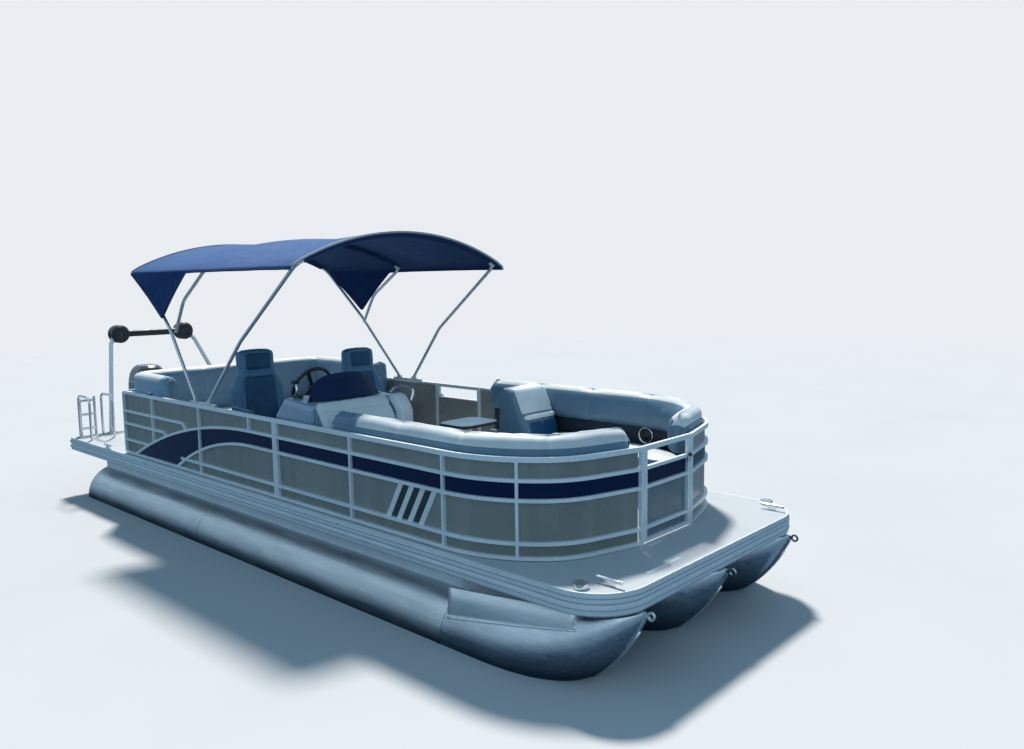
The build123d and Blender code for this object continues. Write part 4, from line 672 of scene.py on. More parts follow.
def poly_ring(corners, inset=0.0, keep_last=True):
    """A rounded, crowned section from corners (a, b, radius, crown, steps), clockwise.
    Each edge starts at its corner, and the last one may stay where it is when the rest is inset."""
    n = len(corners)
    places = [Vector(c[:2]) for c in corners]
    edges = []
    for i in range(n):
        d = (places[(i + 1) % n] - places[i]).normalized()
        out = Vector((-d.y, d.x))
        shift = 0.0 if keep_last and i == n - 1 else inset
        edges.append((places[i] - out * shift, d, out))
    arcs = [corner_arc(edges[i - 1], edges[i], max(0.004, corners[i][2] - inset * 0.4)) for i in range(n)]
    ring = []
    for i, (_, _, _, crown, steps) in enumerate(corners):
        a, b = arcs[i][-1], arcs[(i + 1) % n][0]
        for k in range(steps):
            t = k / steps
            ring.append(tuple(a.lerp(b, t) + edges[i][2] * crown * math.sin(math.pi * t)))
        ring.extend(tuple(p) for p in arcs[(i + 1) % n][:-1])
    return ring


def corner_arc(before, after, radius):
    """The arc that joins two edges (place, direction, outward)."""
    (p, d, out_p), (q, e, out_q) = before, after
    cross = d.x * e.y - d.y * e.x
    gap = q - p
    meet = p + d * ((gap.x * e.y - gap.y * e.x) / cross)
    turn = math.acos(max(-1.0, min(1.0, d.dot(e))))
    bulge = -1 if cross > 0 else 1
    centre = meet - (out_p + out_q) * (bulge * radius / (1 + math.cos(turn)))
    arc = []
    for k in range(CORNER + 1):
        angle = -bulge * turn * k / CORNER
        c, s = math.cos(angle), math.sin(angle)
        arc.append(centre + Vector((out_p.x * c - out_p.y * s, out_p.x * s + out_p.y * c)) * (radius * bulge))
    return arc


def poly_row(corners, edge):
    """The row of a poly_ring at an edge's start."""
    return sum(c[4] for c in corners[:edge]) + CORNER * edge


def seam_rows(corners, *places):
    """Rows that lie some steps after or before an edge's start."""
    return tuple(poly_row(corners, edge) + steps for edge, steps in places)


def underside(corners, edge):
    """The rows of a poly_ring from just before an edge to the section's end."""
    return range(poly_row(corners, edge) - 2, poly_row(corners, len(corners)))


# Soft forms

# The soft ripple of a cover, and the cloth that swells it
RIPPLE = 0.0022
CLOTH = {
    "quality": 4, "mass": 0.3, "tension_stiffness": 12, "compression_stiffness": 12,
    "bending_stiffness": 1.0, "use_pressure": True, "vertex_group_mass": "held",
}
CLOTH_FRAMES = 14


def first_look(j, run):
    return 0


def pinch(distance, width):
    return math.exp(-(distance / width) ** 2)


def sewn_ring(ring, along, centre, gap, seams, depth, width, fixed):
    """A ring's points pulled in at its seams and rippled a little, with their distances."""
    points, nears = [], []
    steps = [0.0]
    for a, b in zip(ring, ring[1:] + ring[:1]):
        steps.append(steps[-1] + (b - a).length)
    for j, point in enumerate(ring):
        gaps = [abs(steps[j] - steps[k]) for k in seams]
        near = min((min(g, steps[-1] - g) for g in gaps), default=1.0)
        pull = depth * max(pinch(gap, width), pinch(near, width) * 0.8)
        tangent = (ring[(j + 1) % len(ring)] - ring[j - 1]).normalized()
        normal = along.cross(tangent).normalized()
        if normal.dot(point - centre) < 0:
            normal = -normal
        wave = noise.noise(point * 9.0) * RIPPLE + noise.noise(point * 27.0) * 0.0008
        points.append(point - normal * (pull + (0.0 if j in fixed else RIPPLE - wave)))
        nears.append(near)
    return points, nears, steps[:-1]


def close_end(points, base, count, middle, outward, puff):
    """Add a domed cap's points over one end's ring, and return its faces."""
    faces = []
    row = list(range(base, base + count))
    for share in (0.72, 0.42, 0.15):
        fresh = list(range(len(points), len(points) + count))
        rise = outward * puff * (1 - share ** 2)
        points += [middle + (points[base + j] - middle) * share + rise for j in range(count)]
        for j in range(count):
            k = (j + 1) % count
            faces.append((row[j], row[k], fresh[k], fresh[j]))
        row = fresh
    faces += fan(row, len(points))
    points.append(middle + outward * puff)
    return faces


def strip(name, frames, ring_at, looks, pick=first_look, seams=(), cross=(), depth=0.008, width=0.016,
          end_round=0.04, puff=0.012, body="hull", slot="upholstery", fixed=(), swell=None):
    """A soft form swept along frames (place, across, up, run), with rounded ends and sewn seams.
    ring_at(t, inset) gives the section; seams are rows, and cross the runs of cross seams. The caps
    take the last look, and swell is the cloth's pressure and the most that a point may move."""
    runs = [step[3] for step in frames]
    total = runs[-1]
    rings = []
    for place, across, up, run in frames:
        short = max(0.0, end_round - min(run, total - run))
        inset = end_round - math.sqrt(max(0.0, end_round ** 2 - short ** 2)) if short else 0.0
        rings.append([place + across * a + up * b for a, b in ring_at(run / total, inset)])
    count, last = len(rings[0]), len(rings) - 1
    centre = [sum(ring, Vector()) / count for ring in rings]
    points, seam_a, seam_b, run_a, run_b = [], [], [], [], []
    for i, ring in enumerate(rings):
        gap = min((abs(runs[i] - c) for c in cross), default=1.0)
        along = (centre[min(i + 1, last)] - centre[max(i - 1, 0)]).normalized()
        sewn, nears, steps = sewn_ring(ring, along, centre[i], gap, seams, depth, width, fixed)
        points += sewn
        seam_a += nears
        seam_b += [gap] * count
        run_a += [runs[i]] * count
        run_b += steps
    faces = bands(len(rings), count)
    picks = [pick(j, run) for run in runs[:-1] for j in range(count)]
    swept = len(points)
    first_out = (centre[0] - centre[1]).normalized()
    last_out = (centre[-1] - centre[-2]).normalized()
    faces += [face[::-1] for face in close_end(points, 0, count, centre[0], first_out, puff)]
    faces += close_end(points, last * count, count, centre[-1], last_out, puff)
    picks += [len(looks) - 1] * (len(faces) - len(picks))
    piece = make(name, points, faces, looks, picks, body, slot)
    face_out(piece)
    caps = len(points) - swept
    give(piece, seam_a=seam_a + [1.0] * caps, seam_b=seam_b + [1.0] * caps,
         run_a=run_a + [0.0] * caps, run_b=run_b + [0.0] * caps)
    if swell:
        near_end = [min(run, total - run) < end_round + 0.015 for run in runs]
        held = [
            i for i in range(swept)
            if i % count in fixed or seam_a[i] < 0.004 or seam_b[i] < 0.009 or near_end[i // count]
        ]
        inflate(piece, held + list(range(swept, len(points))), *swell)
    return piece


def inflate(piece, held, pressure, most):
    """Swell a closed piece by cloth pressure, with some points held and no point moved too far."""
    scene = bpy.context.scene
    group = piece.vertex_groups.new(name="held")
    group.add(held, 1.0, "REPLACE")
    cloth = piece.modifiers.new("swell", "CLOTH")
    for key, value in CLOTH.items():
        setattr(cloth.settings, key, value)
    cloth.settings.uniform_pressure_force = pressure
    cloth.settings.effector_weights.gravity = 0
    cloth.point_cache.frame_start = 1
    cloth.point_cache.frame_end = CLOTH_FRAMES
    for number in range(1, CLOTH_FRAMES + 1):
        scene.frame_set(number)
    swollen = piece.evaluated_get(bpy.context.evaluated_depsgraph_get())
    moved = [v.co.copy() for v in swollen.to_mesh().vertices]
    swollen.to_mesh_clear()
    piece.modifiers.remove(cloth)
    piece.vertex_groups.remove(group)
    scene.frame_set(1)
    for vertex, new in zip(piece.data.vertices, moved):
        shift = new - vertex.co
        if shift.length > most:
            shift *= most / shift.length
        vertex.co += shift
    piece.data.update()


# Bow and stern lounges

# The backrests' outer face: straight along the side, then two arcs round the bow
HALF = node_box("bow_back")[1][1]
SIDE_R, FRONT_R = 0.969, 0.569
SIDE_TURN, FRONT_TURN = math.radians(40), math.radians(34)
CURVE_X, CURVE_Y = 2.555, HALF - SIDE_R
BACK_THICK, BACK_TOP = 0.168, 1.449
# Cushions: their heights, how far in from the outer face they start, and where they end
SEAT_LOW, SEAT_TOP = 0.951, 1.04
SEAT_IN, SEAT_INNER_EDGE = 0.1705, 0.555
# The middle of the fence's rails, which the stern lounge follows
RAIL_HALF = 0.013
STERN_HALF = node_box("frame_port")[1][1] - RAIL_HALF
STERN_AFT = node_box("frame_stern")[0][0] + RAIL_HALF
DARK_STERN_END = 0.10
# The cloth's pressure in the cushions, and the most that a point may move
PRESSURE, MOST = 3.0, 0.008

# Steps up a section's outer side, over its top, down its inner side and along its bottom
SIDES = (7, 9, 8, 5)
ROW_TOP_OUT = ring_row(SIDES, CORNER, 1) - CORNER
ROW_TOP_IN = ring_row(SIDES, CORNER, 2) - CORNER // 2
FIXED_ROWS = range(ring_row(SIDES, CORNER, 3), sum(SIDES) + 4 * CORNER)


def fence_line(start, end_y, step=0.02):
    """Points and outward normals of the backrests' outer face: from start along the port side and
    round the bow, as far in as end_y."""
    count = max(2, round((CURVE_X - start) / step))
    line = [(Vector((lerp(start, CURVE_X, i / count), HALF, 0)), PORT) for i in range(count)]
    centre = Vector((CURVE_X, CURVE_Y, 0))
    for radius, first, turn in ((SIDE_R, 0.0, SIDE_TURN), (FRONT_R, SIDE_TURN, FRONT_TURN)):
        count = max(2, round(radius * turn / step))
        for i in range(count + 1):
            angle = first + turn * i / count
            normal = Vector((math.sin(angle), math.cos(angle), 0))
            end = centre + normal * radius
            if i < count:
                line.append((end, normal))
        centre = end - normal * FRONT_R
    heading = Vector((normal.y, -normal.x, 0))
    length = (end.y - end_y) / -heading.y
    count = max(2, round(length / step))
    return line + [(end + heading * (length * i / count), normal) for i in range(count + 1)]


def frames_along(line, side=1):
    """Frames for strip: place, direction inwards, up, run; side -1 mirrors the line to starboard."""
    frames = []
    run = 0.0
    for place, normal in line:
        p = Vector((place.x, place.y * side, 0))
        run += (p - frames[-1][0]).length if frames else 0.0
        frames.append((p, -Vector((normal.x, normal.y * side, 0)), UP, run))
    return frames


def bolster_section(low, high, radii):
    def section(t, inset):
        limited = tuple(max(0.012, r - inset * 0.4) for r in radii)
        crown = (0.002, 0.010, 0.008, 0.0)
        return box_ring(inset, BACK_THICK - inset, low, high - inset, limited, crown, SIDES, CORNER)
    return section


def bolster_pick(j, run):
    """Light top panel, darker sides: two-tone, and the sides' blue-grey is also painted shade."""
    return 0 if ROW_TOP_OUT <= j < ROW_TOP_IN else 1


def bow_bolsters():
    """Each side's backrest round the bow, with a recessed panel under it, near-black as painted shade."""
    panel_in, panel_thick, cross_seams, cross_reach = 0.05, 0.05, 4, 2.55
    section = bolster_section(1.165, BACK_TOP, (0.03, 0.076, 0.080, 0.04))

    def panel_section(t, inset):
        return box_ring(inset, panel_thick, 0.955, 1.172, (0.008,) * 4, sides=(2,) * 4, corner=2)
    # The aft ends take the side vinyl all round; on starboard it runs 0.33 m, painted shade of the canopy.
    for side, label, aft, dark_end in ((1, "port", 0.752, 0.09), (-1, "starboard", 1.212, 0.33)):
        frames = frames_along(fence_line(aft, 0.345), side)
        cross = [frames[-1][3] - cross_reach * k / cross_seams for k in range(1, cross_seams + 1)]
        piece = strip(
            f"bow_bolster_{label}", frames, section, [VINYL_LIGHT, VINYL_SIDE_SHADED],
            lambda j, run: 1 if run < dark_end else bolster_pick(j, run),
            seams=(ROW_TOP_OUT, ROW_TOP_IN), cross=cross + [dark_end], depth=0.006, width=0.012,
            end_round=0.085, puff=0.01, fixed=FIXED_ROWS, swell=(PRESSURE, MOST),
        )
        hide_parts("bow_back")
        panel_line = [(p - n * panel_in, n) for p, n in fence_line(aft + 0.03, 0.47, 0.04)]
        low = strip(
            f"bow_kick_{label}", frames_along(panel_line, side), panel_section, [RECESS_SHADE], depth=0.0,
            end_round=0.01, puff=0.001, slot="moulded_base",
        )
        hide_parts("bow_back")


def seat_cushion(name, frames, depth_at, cross):
    def section(t, inset):
        return box_ring(inset, depth_at(t) - inset, SEAT_LOW, SEAT_TOP - inset * 0.7,
                        (0.014, 0.03, 0.042, 0.02), (0.0, 0.012, 0.006, 0.0), SIDES, CORNER)
    piece = strip(
        name, frames, section, [VINYL_LIGHT, VINYL_SIDE_SHADED],
        lambda j, run: 0 if ring_row(SIDES, CORNER, 1) - 1 <= j < ROW_TOP_IN else 1,
        seams=(ROW_TOP_IN, ring_row(SIDES, CORNER, 1, 0.5)), cross=cross, depth=0.009, width=0.016,
        end_round=0.035, fixed=FIXED_ROWS, swell=(PRESSURE, MOST),
    )
    return piece


def bow_seat_edge(x):
    """How far out a bow seat reaches at x: along the backrest's inner face and round the bow."""
    if x <= CURVE_X:
        y = HALF - SEAT_IN
    elif x <= CURVE_X + (SIDE_R - SEAT_IN) * math.sin(SIDE_TURN):
        y = CURVE_Y + math.sqrt((SIDE_R - SEAT_IN) ** 2 - (x - CURVE_X) ** 2)
    else:
        cx = CURVE_X + (SIDE_R - FRONT_R) * math.sin(SIDE_TURN)
        cy = CURVE_Y + (SIDE_R - FRONT_R) * math.cos(SIDE_TURN)
        y = cy + math.sqrt(max(0.0, (FRONT_R - SEAT_IN) ** 2 - (x - cx) ** 2))
    return max(y - 0.004, 0.60)


def bow_seats():
    """Each side's seat: its outer edge follows the backrest, and its inner edge is straight."""
    count, fore, seams = 96, 3.19, (1.834, 2.454)
    for side, label, aft in ((1, "port", 1.724), (-1, "starboard", 1.214)):
        columns = [lerp(aft, fore, i / count) for i in range(count + 1)]
        edges = [bow_seat_edge(x) for x in columns]
        frames = [(Vector((x, y * side, 0)), -PORT * side, UP, x - aft) for x, y in zip(columns, edges)]
        piece = seat_cushion(
            f"bow_cushion_{label}", frames, lambda t: edges[round(t * count)] - SEAT_INNER_EDGE,
            [x - aft for x in seams],
        )
        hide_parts("bow_seat")


def ring_line(inset, starboard_x, port_x, corner, step=0.02):
    """The stern seat's line: from starboard aft, across the stern, and forward on the port side."""
    half, aft = STERN_HALF - inset, STERN_AFT + inset
    turn, reach = aft + corner, half - corner
    count = round((starboard_x - turn) / step)
    line = [(Vector((lerp(starboard_x, turn, i / count), -half, 0)), -PORT) for i in range(count)]
    for cy, start in ((-reach, 90), (reach, 0)):
        for i in range(9):
            angle = math.radians(start - 90 * i / 8)
            normal = Vector((-math.cos(angle), -math.sin(angle), 0))
            line.append((Vector((turn, cy, 0)) + normal * corner, normal))
        if cy < 0:
            count = round(2 * reach / step)
            line += [(Vector((aft, lerp(-reach, reach, i / count), 0)), -FORE) for i in range(1, count)]
    count = round((port_x - turn) / step)
    return line + [(Vector((lerp(turn, port_x, i / count), half, 0)), PORT) for i in range(1, count + 1)]


def stern_seats():
    frames = frames_along(ring_line(0.031, -1.602, -1.012, 0.22))
    total = frames[-1][3]

    def pick(j, run):
        return 1 if min(run, total - run) < DARK_STERN_END else bolster_pick(j, run)
    back = strip(
        "stern_bolster", frames, bolster_section(0.952, 1.519, (0.02, 0.05, 0.065, 0.03)),
        [VINYL_LIGHT, VINYL_STERN_LIT], pick, seams=(ROW_TOP_OUT, ROW_TOP_IN, ring_row(SIDES, CORNER, 2, 0.5)),
        cross=[DARK_STERN_END, 0.85, 1.55, 2.35, 3.15, 3.85, total - DARK_STERN_END], depth=0.006,
        width=0.013, end_round=0.06, puff=0.012, fixed=FIXED_ROWS, swell=(PRESSURE, MOST),
    )
    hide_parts("stern_back")
    frames = frames_along(ring_line(0.205, -1.604, -1.014, 0.06))
    seat = seat_cushion("stern_cushion", frames, lambda t: 0.472, [0.95, 1.6, 2.3, 2.95])
    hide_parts("stern_seat")


# Backrests across the boat


def across_frames(y0, y1, step=0.02):
    """Frames across the boat, for sections drawn in X and Z."""
    return [(Vector((0, y, 0)), FORE, UP, abs(y - y0)) for y in span(y0, y1, step)]


def lounge_part(name, corners, reach, looks, seams=(), cross=(), shown=1.0, **more):
    """A sewn part of a backrest across the boat: section corners in X and Z, reach in Y."""
    given = {"depth": 0.006, "width": 0.012, "end_round": 0.045, "puff": 0.008, **more}
    piece = strip(
        name, across_frames(*reach), lambda t, inset: poly_ring(corners, inset * shown, shown == 1.0),
        looks, seams=seams, cross=cross, **given,
    )
    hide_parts("bow_chaise")


def chaise_starboard():
    """The thin backrest in front of the console, and the wing at its inner end."""
    pad = [
        (1.013, 0.952, 0.015, 0.0, 7), (0.985, 1.494, 0.022, 0.003, 3), (1.045, 1.494, 0.03, 0.003, 4),
        (1.108, 1.430, 0.035, 0.006, 6), (1.196, 1.270, 0.05, 0.006, 8), (1.196, 0.952, 0.015, 0.0, 5),
    ]
    lounge_part(
        "chaise_pad_starboard", pad, (-1.190, -0.480), [VINYL_LIGHT, VINYL_SIDE_SHADED],
        seam_rows(pad, (1, -2), (3, -2), (4, 2)), [0.24, 0.475], fixed=underside(pad, 5), swell=(3.0, 0.007),
    )
    wing = [
        (1.010, 0.952, 0.02, 0.0, 7), (0.985, 1.496, 0.04, 0.004, 5), (1.098, 1.496, 0.05, 0.006, 5),
        (1.198, 1.375, 0.06, 0.006, 8), (1.198, 0.952, 0.02, 0.0, 5),
    ]
    lounge_part(
        "chaise_wing", wing, (-0.474, -0.302), [VINYL_LIGHT, VINYL_SIDE_SHADED], seam_rows(wing, (1, -2), (3, -2)),
        [0.03, 0.142], fixed=underside(wing, 4), end_round=0.05, depth=0.005, swell=(2.5, 0.006),
    )


def chaise_port():
    """The deep reclined backrest, with its pale head panel, its roll and its ribbed low panel."""
    pad = [
        (1.323, 0.952, 0.015, 0.0, 9), (1.353, 1.455, 0.035, 0.003, 6), (1.526, 1.455, 0.055, 0.004, 12),
        (1.706, 1.050, 0.04, 0.002, 4), (1.706, 0.952, 0.015, 0.0, 8),
    ]
    lounge_part(
        "chaise_pad_port", pad, (0.556, 1.026), [VINYL_SIDE_SHADED], seam_rows(pad, (1, -2), (3, -2)),
        [0.05, 0.42], fixed=underside(pad, 4), swell=(3.0, 0.006),
    )
    head = [
        (1.372, 1.440, 0.004, 0.0, 2), (1.374, 1.466, 0.012, 0.0, 6), (1.530, 1.468, 0.060, 0.004, 10),
        (1.637, 1.242, 0.012, 0.0, 2), (1.615, 1.232, 0.004, 0.0, 8), (1.512, 1.440, 0.04, 0.0, 5),
    ]
    lounge_part("chaise_head_panel", head, (0.590, 1.006), [VINYL_PALE_SUNLIT], seam_rows(head, (3, -3)),
                shown=0.35, end_round=0.03, depth=0.003, puff=0.003)
    roll = [
        (1.620, 1.186, 0.008, 0.0, 2), (1.602, 1.226, 0.008, 0.0, 4), (1.650, 1.238, 0.016, 0.003, 5),
        (1.676, 1.186, 0.016, 0.0, 4),
    ]
    lounge_part("chaise_roll", roll, (0.600, 1.004), [VINYL_PALE_SUNLIT], shown=0.4, end_round=0.02, depth=0.0,
                puff=0.003)
    low = [
        (1.640, 0.99, 0.006, 0.0, 2), (1.618, 1.165, 0.008, 0.0, 3), (1.664, 1.170, 0.014, 0.003, 8),
        (1.722, 1.035, 0.014, 0.0, 3), (1.718, 0.99, 0.008, 0.0, 4),
    ]
    lounge_part("chaise_low_panel", low, (0.625, 0.985), [CHAIR_PANEL], cross=[0.09, 0.18, 0.27],
                shown=0.4, end_round=0.02, depth=0.004, width=0.007, puff=0.003)


# Helm chairs

PEDESTAL_RADIUS = 0.16
CHAIR_X = node_box("chair_pedestals")[1][0] - PEDESTAL_RADIUS
CHAIR_SIDES = (5, 12, 5, 8)


def upright_frames(places, y, step=0.018):
    """Frames up a chair's back: the section is drawn across the boat and forwards."""
    frames = []
    run = 0.0
    for a, b in zip(places, places[1:]):
        a, b, top = Vector(a), Vector(b), b is places[-1]
        count = max(1, round((b - a).length / step))
        for i in range(count + top):
            x, z = a.lerp(b, i / count)
            point = Vector((x, y, z))
            run += (point - frames[-1][0]).length if frames else 0.0
            frames.append((point, PORT, FORE, run))
    return frames


def chair_part(label, name, frames, ring_at, looks, **more):
    node = f"{label}_chair"
    piece = strip(f"{label}_{name}", frames, ring_at, looks, body=node, slot="chair_vinyl", **more)
    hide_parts(node)


def chair_seat(label, y, low):
    """The seat's shell and the ribbed pad on it."""
    x = CHAIR_X
    shell = [
        (x - 0.245, low + 0.004, 0.02, 0.0, 4), (x - 0.235, low + 0.118, 0.03, 0.004, 11),
        (x + 0.225, low + 0.146, 0.05, 0.0, 4), (x + 0.232, low + 0.004, 0.03, 0.0, 8),
    ]
    chair_part(
        label, "seat", across_frames(y - 0.246, y + 0.246, 0.016), lambda t, inset: poly_ring(shell, inset),
        [CHAIR_SHELL, CHAIR_PANEL], seams=seam_rows(shell, (2, 1)), cross=[0.10, 0.392], depth=0.010,
        width=0.016, end_round=0.045, fixed=underside(shell, 3), swell=(3.0, 0.006),
    )
    pad = [
        (x - 0.20, low + 0.10, 0.01, 0.0, 3), (x - 0.19, low + 0.136, 0.015, 0.012, 12),
        (x + 0.18, low + 0.158, 0.025, 0.0, 3), (x + 0.19, low + 0.11, 0.01, 0.0, 8),
    ]
    chair_part(
        label, "seat_pad", across_frames(y - 0.14, y + 0.14, 0.01),
        lambda t, inset: poly_ring(pad, inset * 0.5), [CHAIR_PANEL], cross=[0.04 * k for k in range(1, 7)],
        depth=0.005, width=0.007, end_round=0.02, puff=0.002,
    )


def chair_back(label, y, low):
    """The back's shell, wide below and narrow at the headrest, with two ribbed pads on it."""
    x = CHAIR_X
    spine = [
        (x - 0.195, low + 0.125), (x - 0.232, low + 0.40), (x - 0.252, low + 0.62),
        (x - 0.258, low + 0.852),
    ]

    def shell(t, inset):
        wide = 0.272 - 0.080 * min(1.0, max(0.0, (t - 0.50) / 0.24)) ** 0.9
        front, aft = lerp(0.088, 0.056, t), lerp(0.070, 0.060, t)
        return box_ring(-wide + inset, wide - inset, -aft + inset * 0.4, front - inset * 0.4,
                        (0.045,) * 4, (0.0, -0.018 * (1 - t), 0.0, 0.006), CHAIR_SIDES, CORNER)
    ribs = [ring_row(CHAIR_SIDES, CORNER, 1, k / 12) for k in (2, 4, 6, 8, 10)]
    edges = [ring_row(CHAIR_SIDES, CORNER, part) - 2 for part in (1, 2)]
    chair_part(
        label, "back", upright_frames(spine, y), shell, [CHAIR_SHELL, CHAIR_PANEL],
        seams=[ribs[0], ribs[-1]] + edges, cross=[0.505], depth=0.008, width=0.013, end_round=0.05,
        puff=0.008, swell=(2.5, 0.005),
    )

    def pad(wide, thick):
        return lambda t, inset: box_ring(
            -wide + inset, wide - inset, 0.0, thick - inset * 0.3, (0.008, 0.012, 0.012, 0.008),
            (0.0, 0.006, 0.0, 0.0), CHAIR_SIDES, CORNER)
    places = [(x - 0.124, low + 0.175), (x - 0.168, low + 0.42), (x - 0.192, low + 0.598)]
    chair_part(label, "back_pad", upright_frames(places, y), pad(0.158, 0.020), [CHAIR_PANEL],
               seams=ribs, depth=0.004, width=0.007, end_round=0.02, puff=0.002)
    places = [(x - 0.205, low + 0.665), (x - 0.212, low + 0.818)]
    chair_part(label, "headrest_pad", upright_frames(places, y, 0.014), pad(0.138, 0.016), [CHAIR_PANEL],
               seams=ribs, depth=0.003, width=0.006, end_round=0.018, puff=0.002)


def chair_arms(label, y, low):
    """On each side, a padded armrest over a black side panel."""
    aft, fore, thick = CHAIR_X - 0.215, CHAIR_X + 0.145, 0.03

    def arm(t, inset):
        return box_ring(-0.029 + inset, 0.029 - inset, -thick, thick - inset * 0.6,
                        (0.012, 0.02, 0.02, 0.012), (0.0, 0.003, 0.0, 0.0), (3, 5, 3, 4), CORNER)

    def board(t, inset):
        return box_ring(-0.017, 0.017, 0.07 + inset, 0.285 - inset * 0.3, (0.008,) * 4,
                        sides=(4, 2, 4, 2), corner=3)
    for side, tag in BOTH_SIDES:
        edge = y + side * 0.279
        frames = [
            (Vector((x, edge, low + lerp(0.318, 0.296, (x - CHAIR_X + 0.20) / 0.33))), PORT, UP, x - aft)
            for x in span(aft, fore, 0.016)
        ]
        chair_part(label, f"arm_{tag}", frames, arm, [CHAIR_SHELL], seams=[5], depth=0.003, width=0.006,
                   end_round=0.028, puff=0.004)
        start = CHAIR_X - 0.20
        frames = [(Vector((x, edge, low)), PORT, UP, x - start) for x in span(start, CHAIR_X + 0.11)]
        panel = strip(f"{label}_arm_panel_{tag}", frames, board, [BLACK], depth=0.0, end_round=0.05,
                      puff=0.002, body=f"{label}_chair", slot="black_plastic")
        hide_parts(f"{label}_chair")


def chair(label):
    """A helm chair, over the middle of its CAD solid and just off its foot."""
    low, high = node_box(f"{label}_chair")
    for build in (chair_seat, chair_back, chair_arms):
        build(label, (low[1] + high[1]) / 2, low[2] + 0.0002)


# Shade

# The sheet's box, the height of its side edges and of its crown, and the bows' places
CANOPY_LOW, CANOPY_HIGH = node_box("canopy")
CANOPY_AFT, CANOPY_FORE = CANOPY_LOW[0], CANOPY_HIGH[0]
CANOPY_HALF, CANOPY_EDGE, CANOPY_CROWN = CANOPY_HIGH[1] - 0.002, 2.588, 2.883
BOWS = (-2.09, -0.70, 0.76)
SKIRT_X, SKIRT_Z, SKIRT_FORE = -1.50, CANOPY_LOW[2] + 0.004, -0.96
HEM_DROP, EDGE_ROUND, PANEL_SEAM, CLOTH_END = 0.040, 0.045, 0.62, 0.003


def skirt_low(x):
    """Height of the side curtain's lower edge."""
    drop = CANOPY_EDGE - HEM_DROP
    points = [(CANOPY_AFT, drop), (SKIRT_X, SKIRT_Z), (SKIRT_FORE, drop), (CANOPY_FORE, drop)]
    for (x0, z0), (x1, z1) in zip(points, points[1:]):
        if x <= x1:
            t = (x - x0) / (x1 - x0)
            droop = 0.010 if x1 == CANOPY_FORE else 0.016
            return lerp(z0, z1, t) + droop * math.sin(math.pi * t)
    return drop


def canopy_sag(x):
    """The dip of the cloth between two bows."""
    for a, b in zip(BOWS, BOWS[1:]):
        if a < x < b:
            return 0.024 * math.sin(math.pi * (x - a) / (b - a)) ** 2
    return 0.0


def canopy_section(x, skirt=7, arch=23):
    """Points (y, z) across the sheet at x, from the starboard lower edge over the top to port."""
    rise = CANOPY_CROWN - CANOPY_EDGE
    radius = (CANOPY_HALF ** 2 + rise ** 2) / (2 * rise)
    sag, fold = canopy_sag(x), CANOPY_EDGE - 0.035
    half = []
    for k in range(skirt):
        t = k / skirt
        half.append((0.25 * sag * math.sin(math.pi * t) - CANOPY_HALF, lerp(skirt_low(x), fold, t)))
    slope = math.asin(CANOPY_HALF / radius)
    for k in range(5):
        angle = lerp(math.pi, math.pi / 2 + slope, k / 4)
        half.append((EDGE_ROUND * (1 + math.cos(angle)) - CANOPY_HALF, fold + EDGE_ROUND * math.sin(angle)))
    for k in range(1, arch + 1):
        y = lerp(0.03 - CANOPY_HALF, 0.0, k / arch)
        share = 1 - (abs(y) / CANOPY_HALF) ** 4
        half.append((y, CANOPY_CROWN - radius + math.sqrt(radius ** 2 - y ** 2) - sag * share))
    return half + [(-y, z) for y, z in reversed(half[:-1])]


def nearest_seam(x, p):
    """The distance to the nearest seam of the sheet, and the run along that seam."""
    to_bow = min(abs(x - b) for b in (BOWS[0] + 0.05, BOWS[1], BOWS[2] - 0.05))
    to_panel = abs(abs(p.y) - PANEL_SEAM) if p.z > CANOPY_EDGE else 1.0
    nearest = min(to_bow, to_panel, x - CANOPY_AFT, CANOPY_FORE - x)
    return nearest, p.y if nearest != to_panel else x


def canopy_edges(columns):
    """The welt at the sheet's front, and the hems at its back and along its two sides."""
    front = [(CANOPY_FORE - 0.004, y, z) for y, z in canopy_section(CANOPY_FORE - CLOTH_END)]
    back = [(CANOPY_AFT + 0.006, y, z) for y, z in canopy_section(CANOPY_AFT + CLOTH_END)]
    pieces = [
        tube("canopy_welt", front, 0.010, WELT, slot="navy_canvas"),
        tube("canopy_hem_aft", back, 0.006, CANVAS, slot="navy_canvas"),
    ]
    for side, label in BOTH_SIDES:
        hem = [(x, side * CANOPY_HALF, skirt_low(x) + 0.004) for x in columns]
        pieces.append(tube(f"canopy_hem_{label}", hem, 0.005, CANVAS, slot="navy_canvas"))
    return pieces


def canopy_sleeve(name, x):
    """A sleeve sewn under the sheet, round a bow."""
    shape = [(-0.052, 0.004), (-0.038, 0.014), (-0.022, 0.040), (0.0, 0.052)]
    shape += [(-dx, drop) for dx, drop in reversed(shape[:-1])]
    section = [p for p in canopy_section(x) if abs(p[0]) < 1.10]
    points = []
    for y, z in section:
        down = Vector((0, y * 0.42, 1)).normalized()
        for dx, drop in shape:
            px = min(max(x + dx, CANOPY_AFT + 0.004), CANOPY_FORE - 0.004)
            points.append(Vector((px, y, z)) - down * drop)
    faces = bands(len(section), len(shape), False)
    sleeve = make(name, points, faces, [CANVAS], None, "hull", "navy_canvas")
    give(sleeve, seam_a=[1.0] * len(points))
    length = sum((Vector(b) - Vector(a)).length for a, b in zip(section, section[1:]))
    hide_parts("canopy")


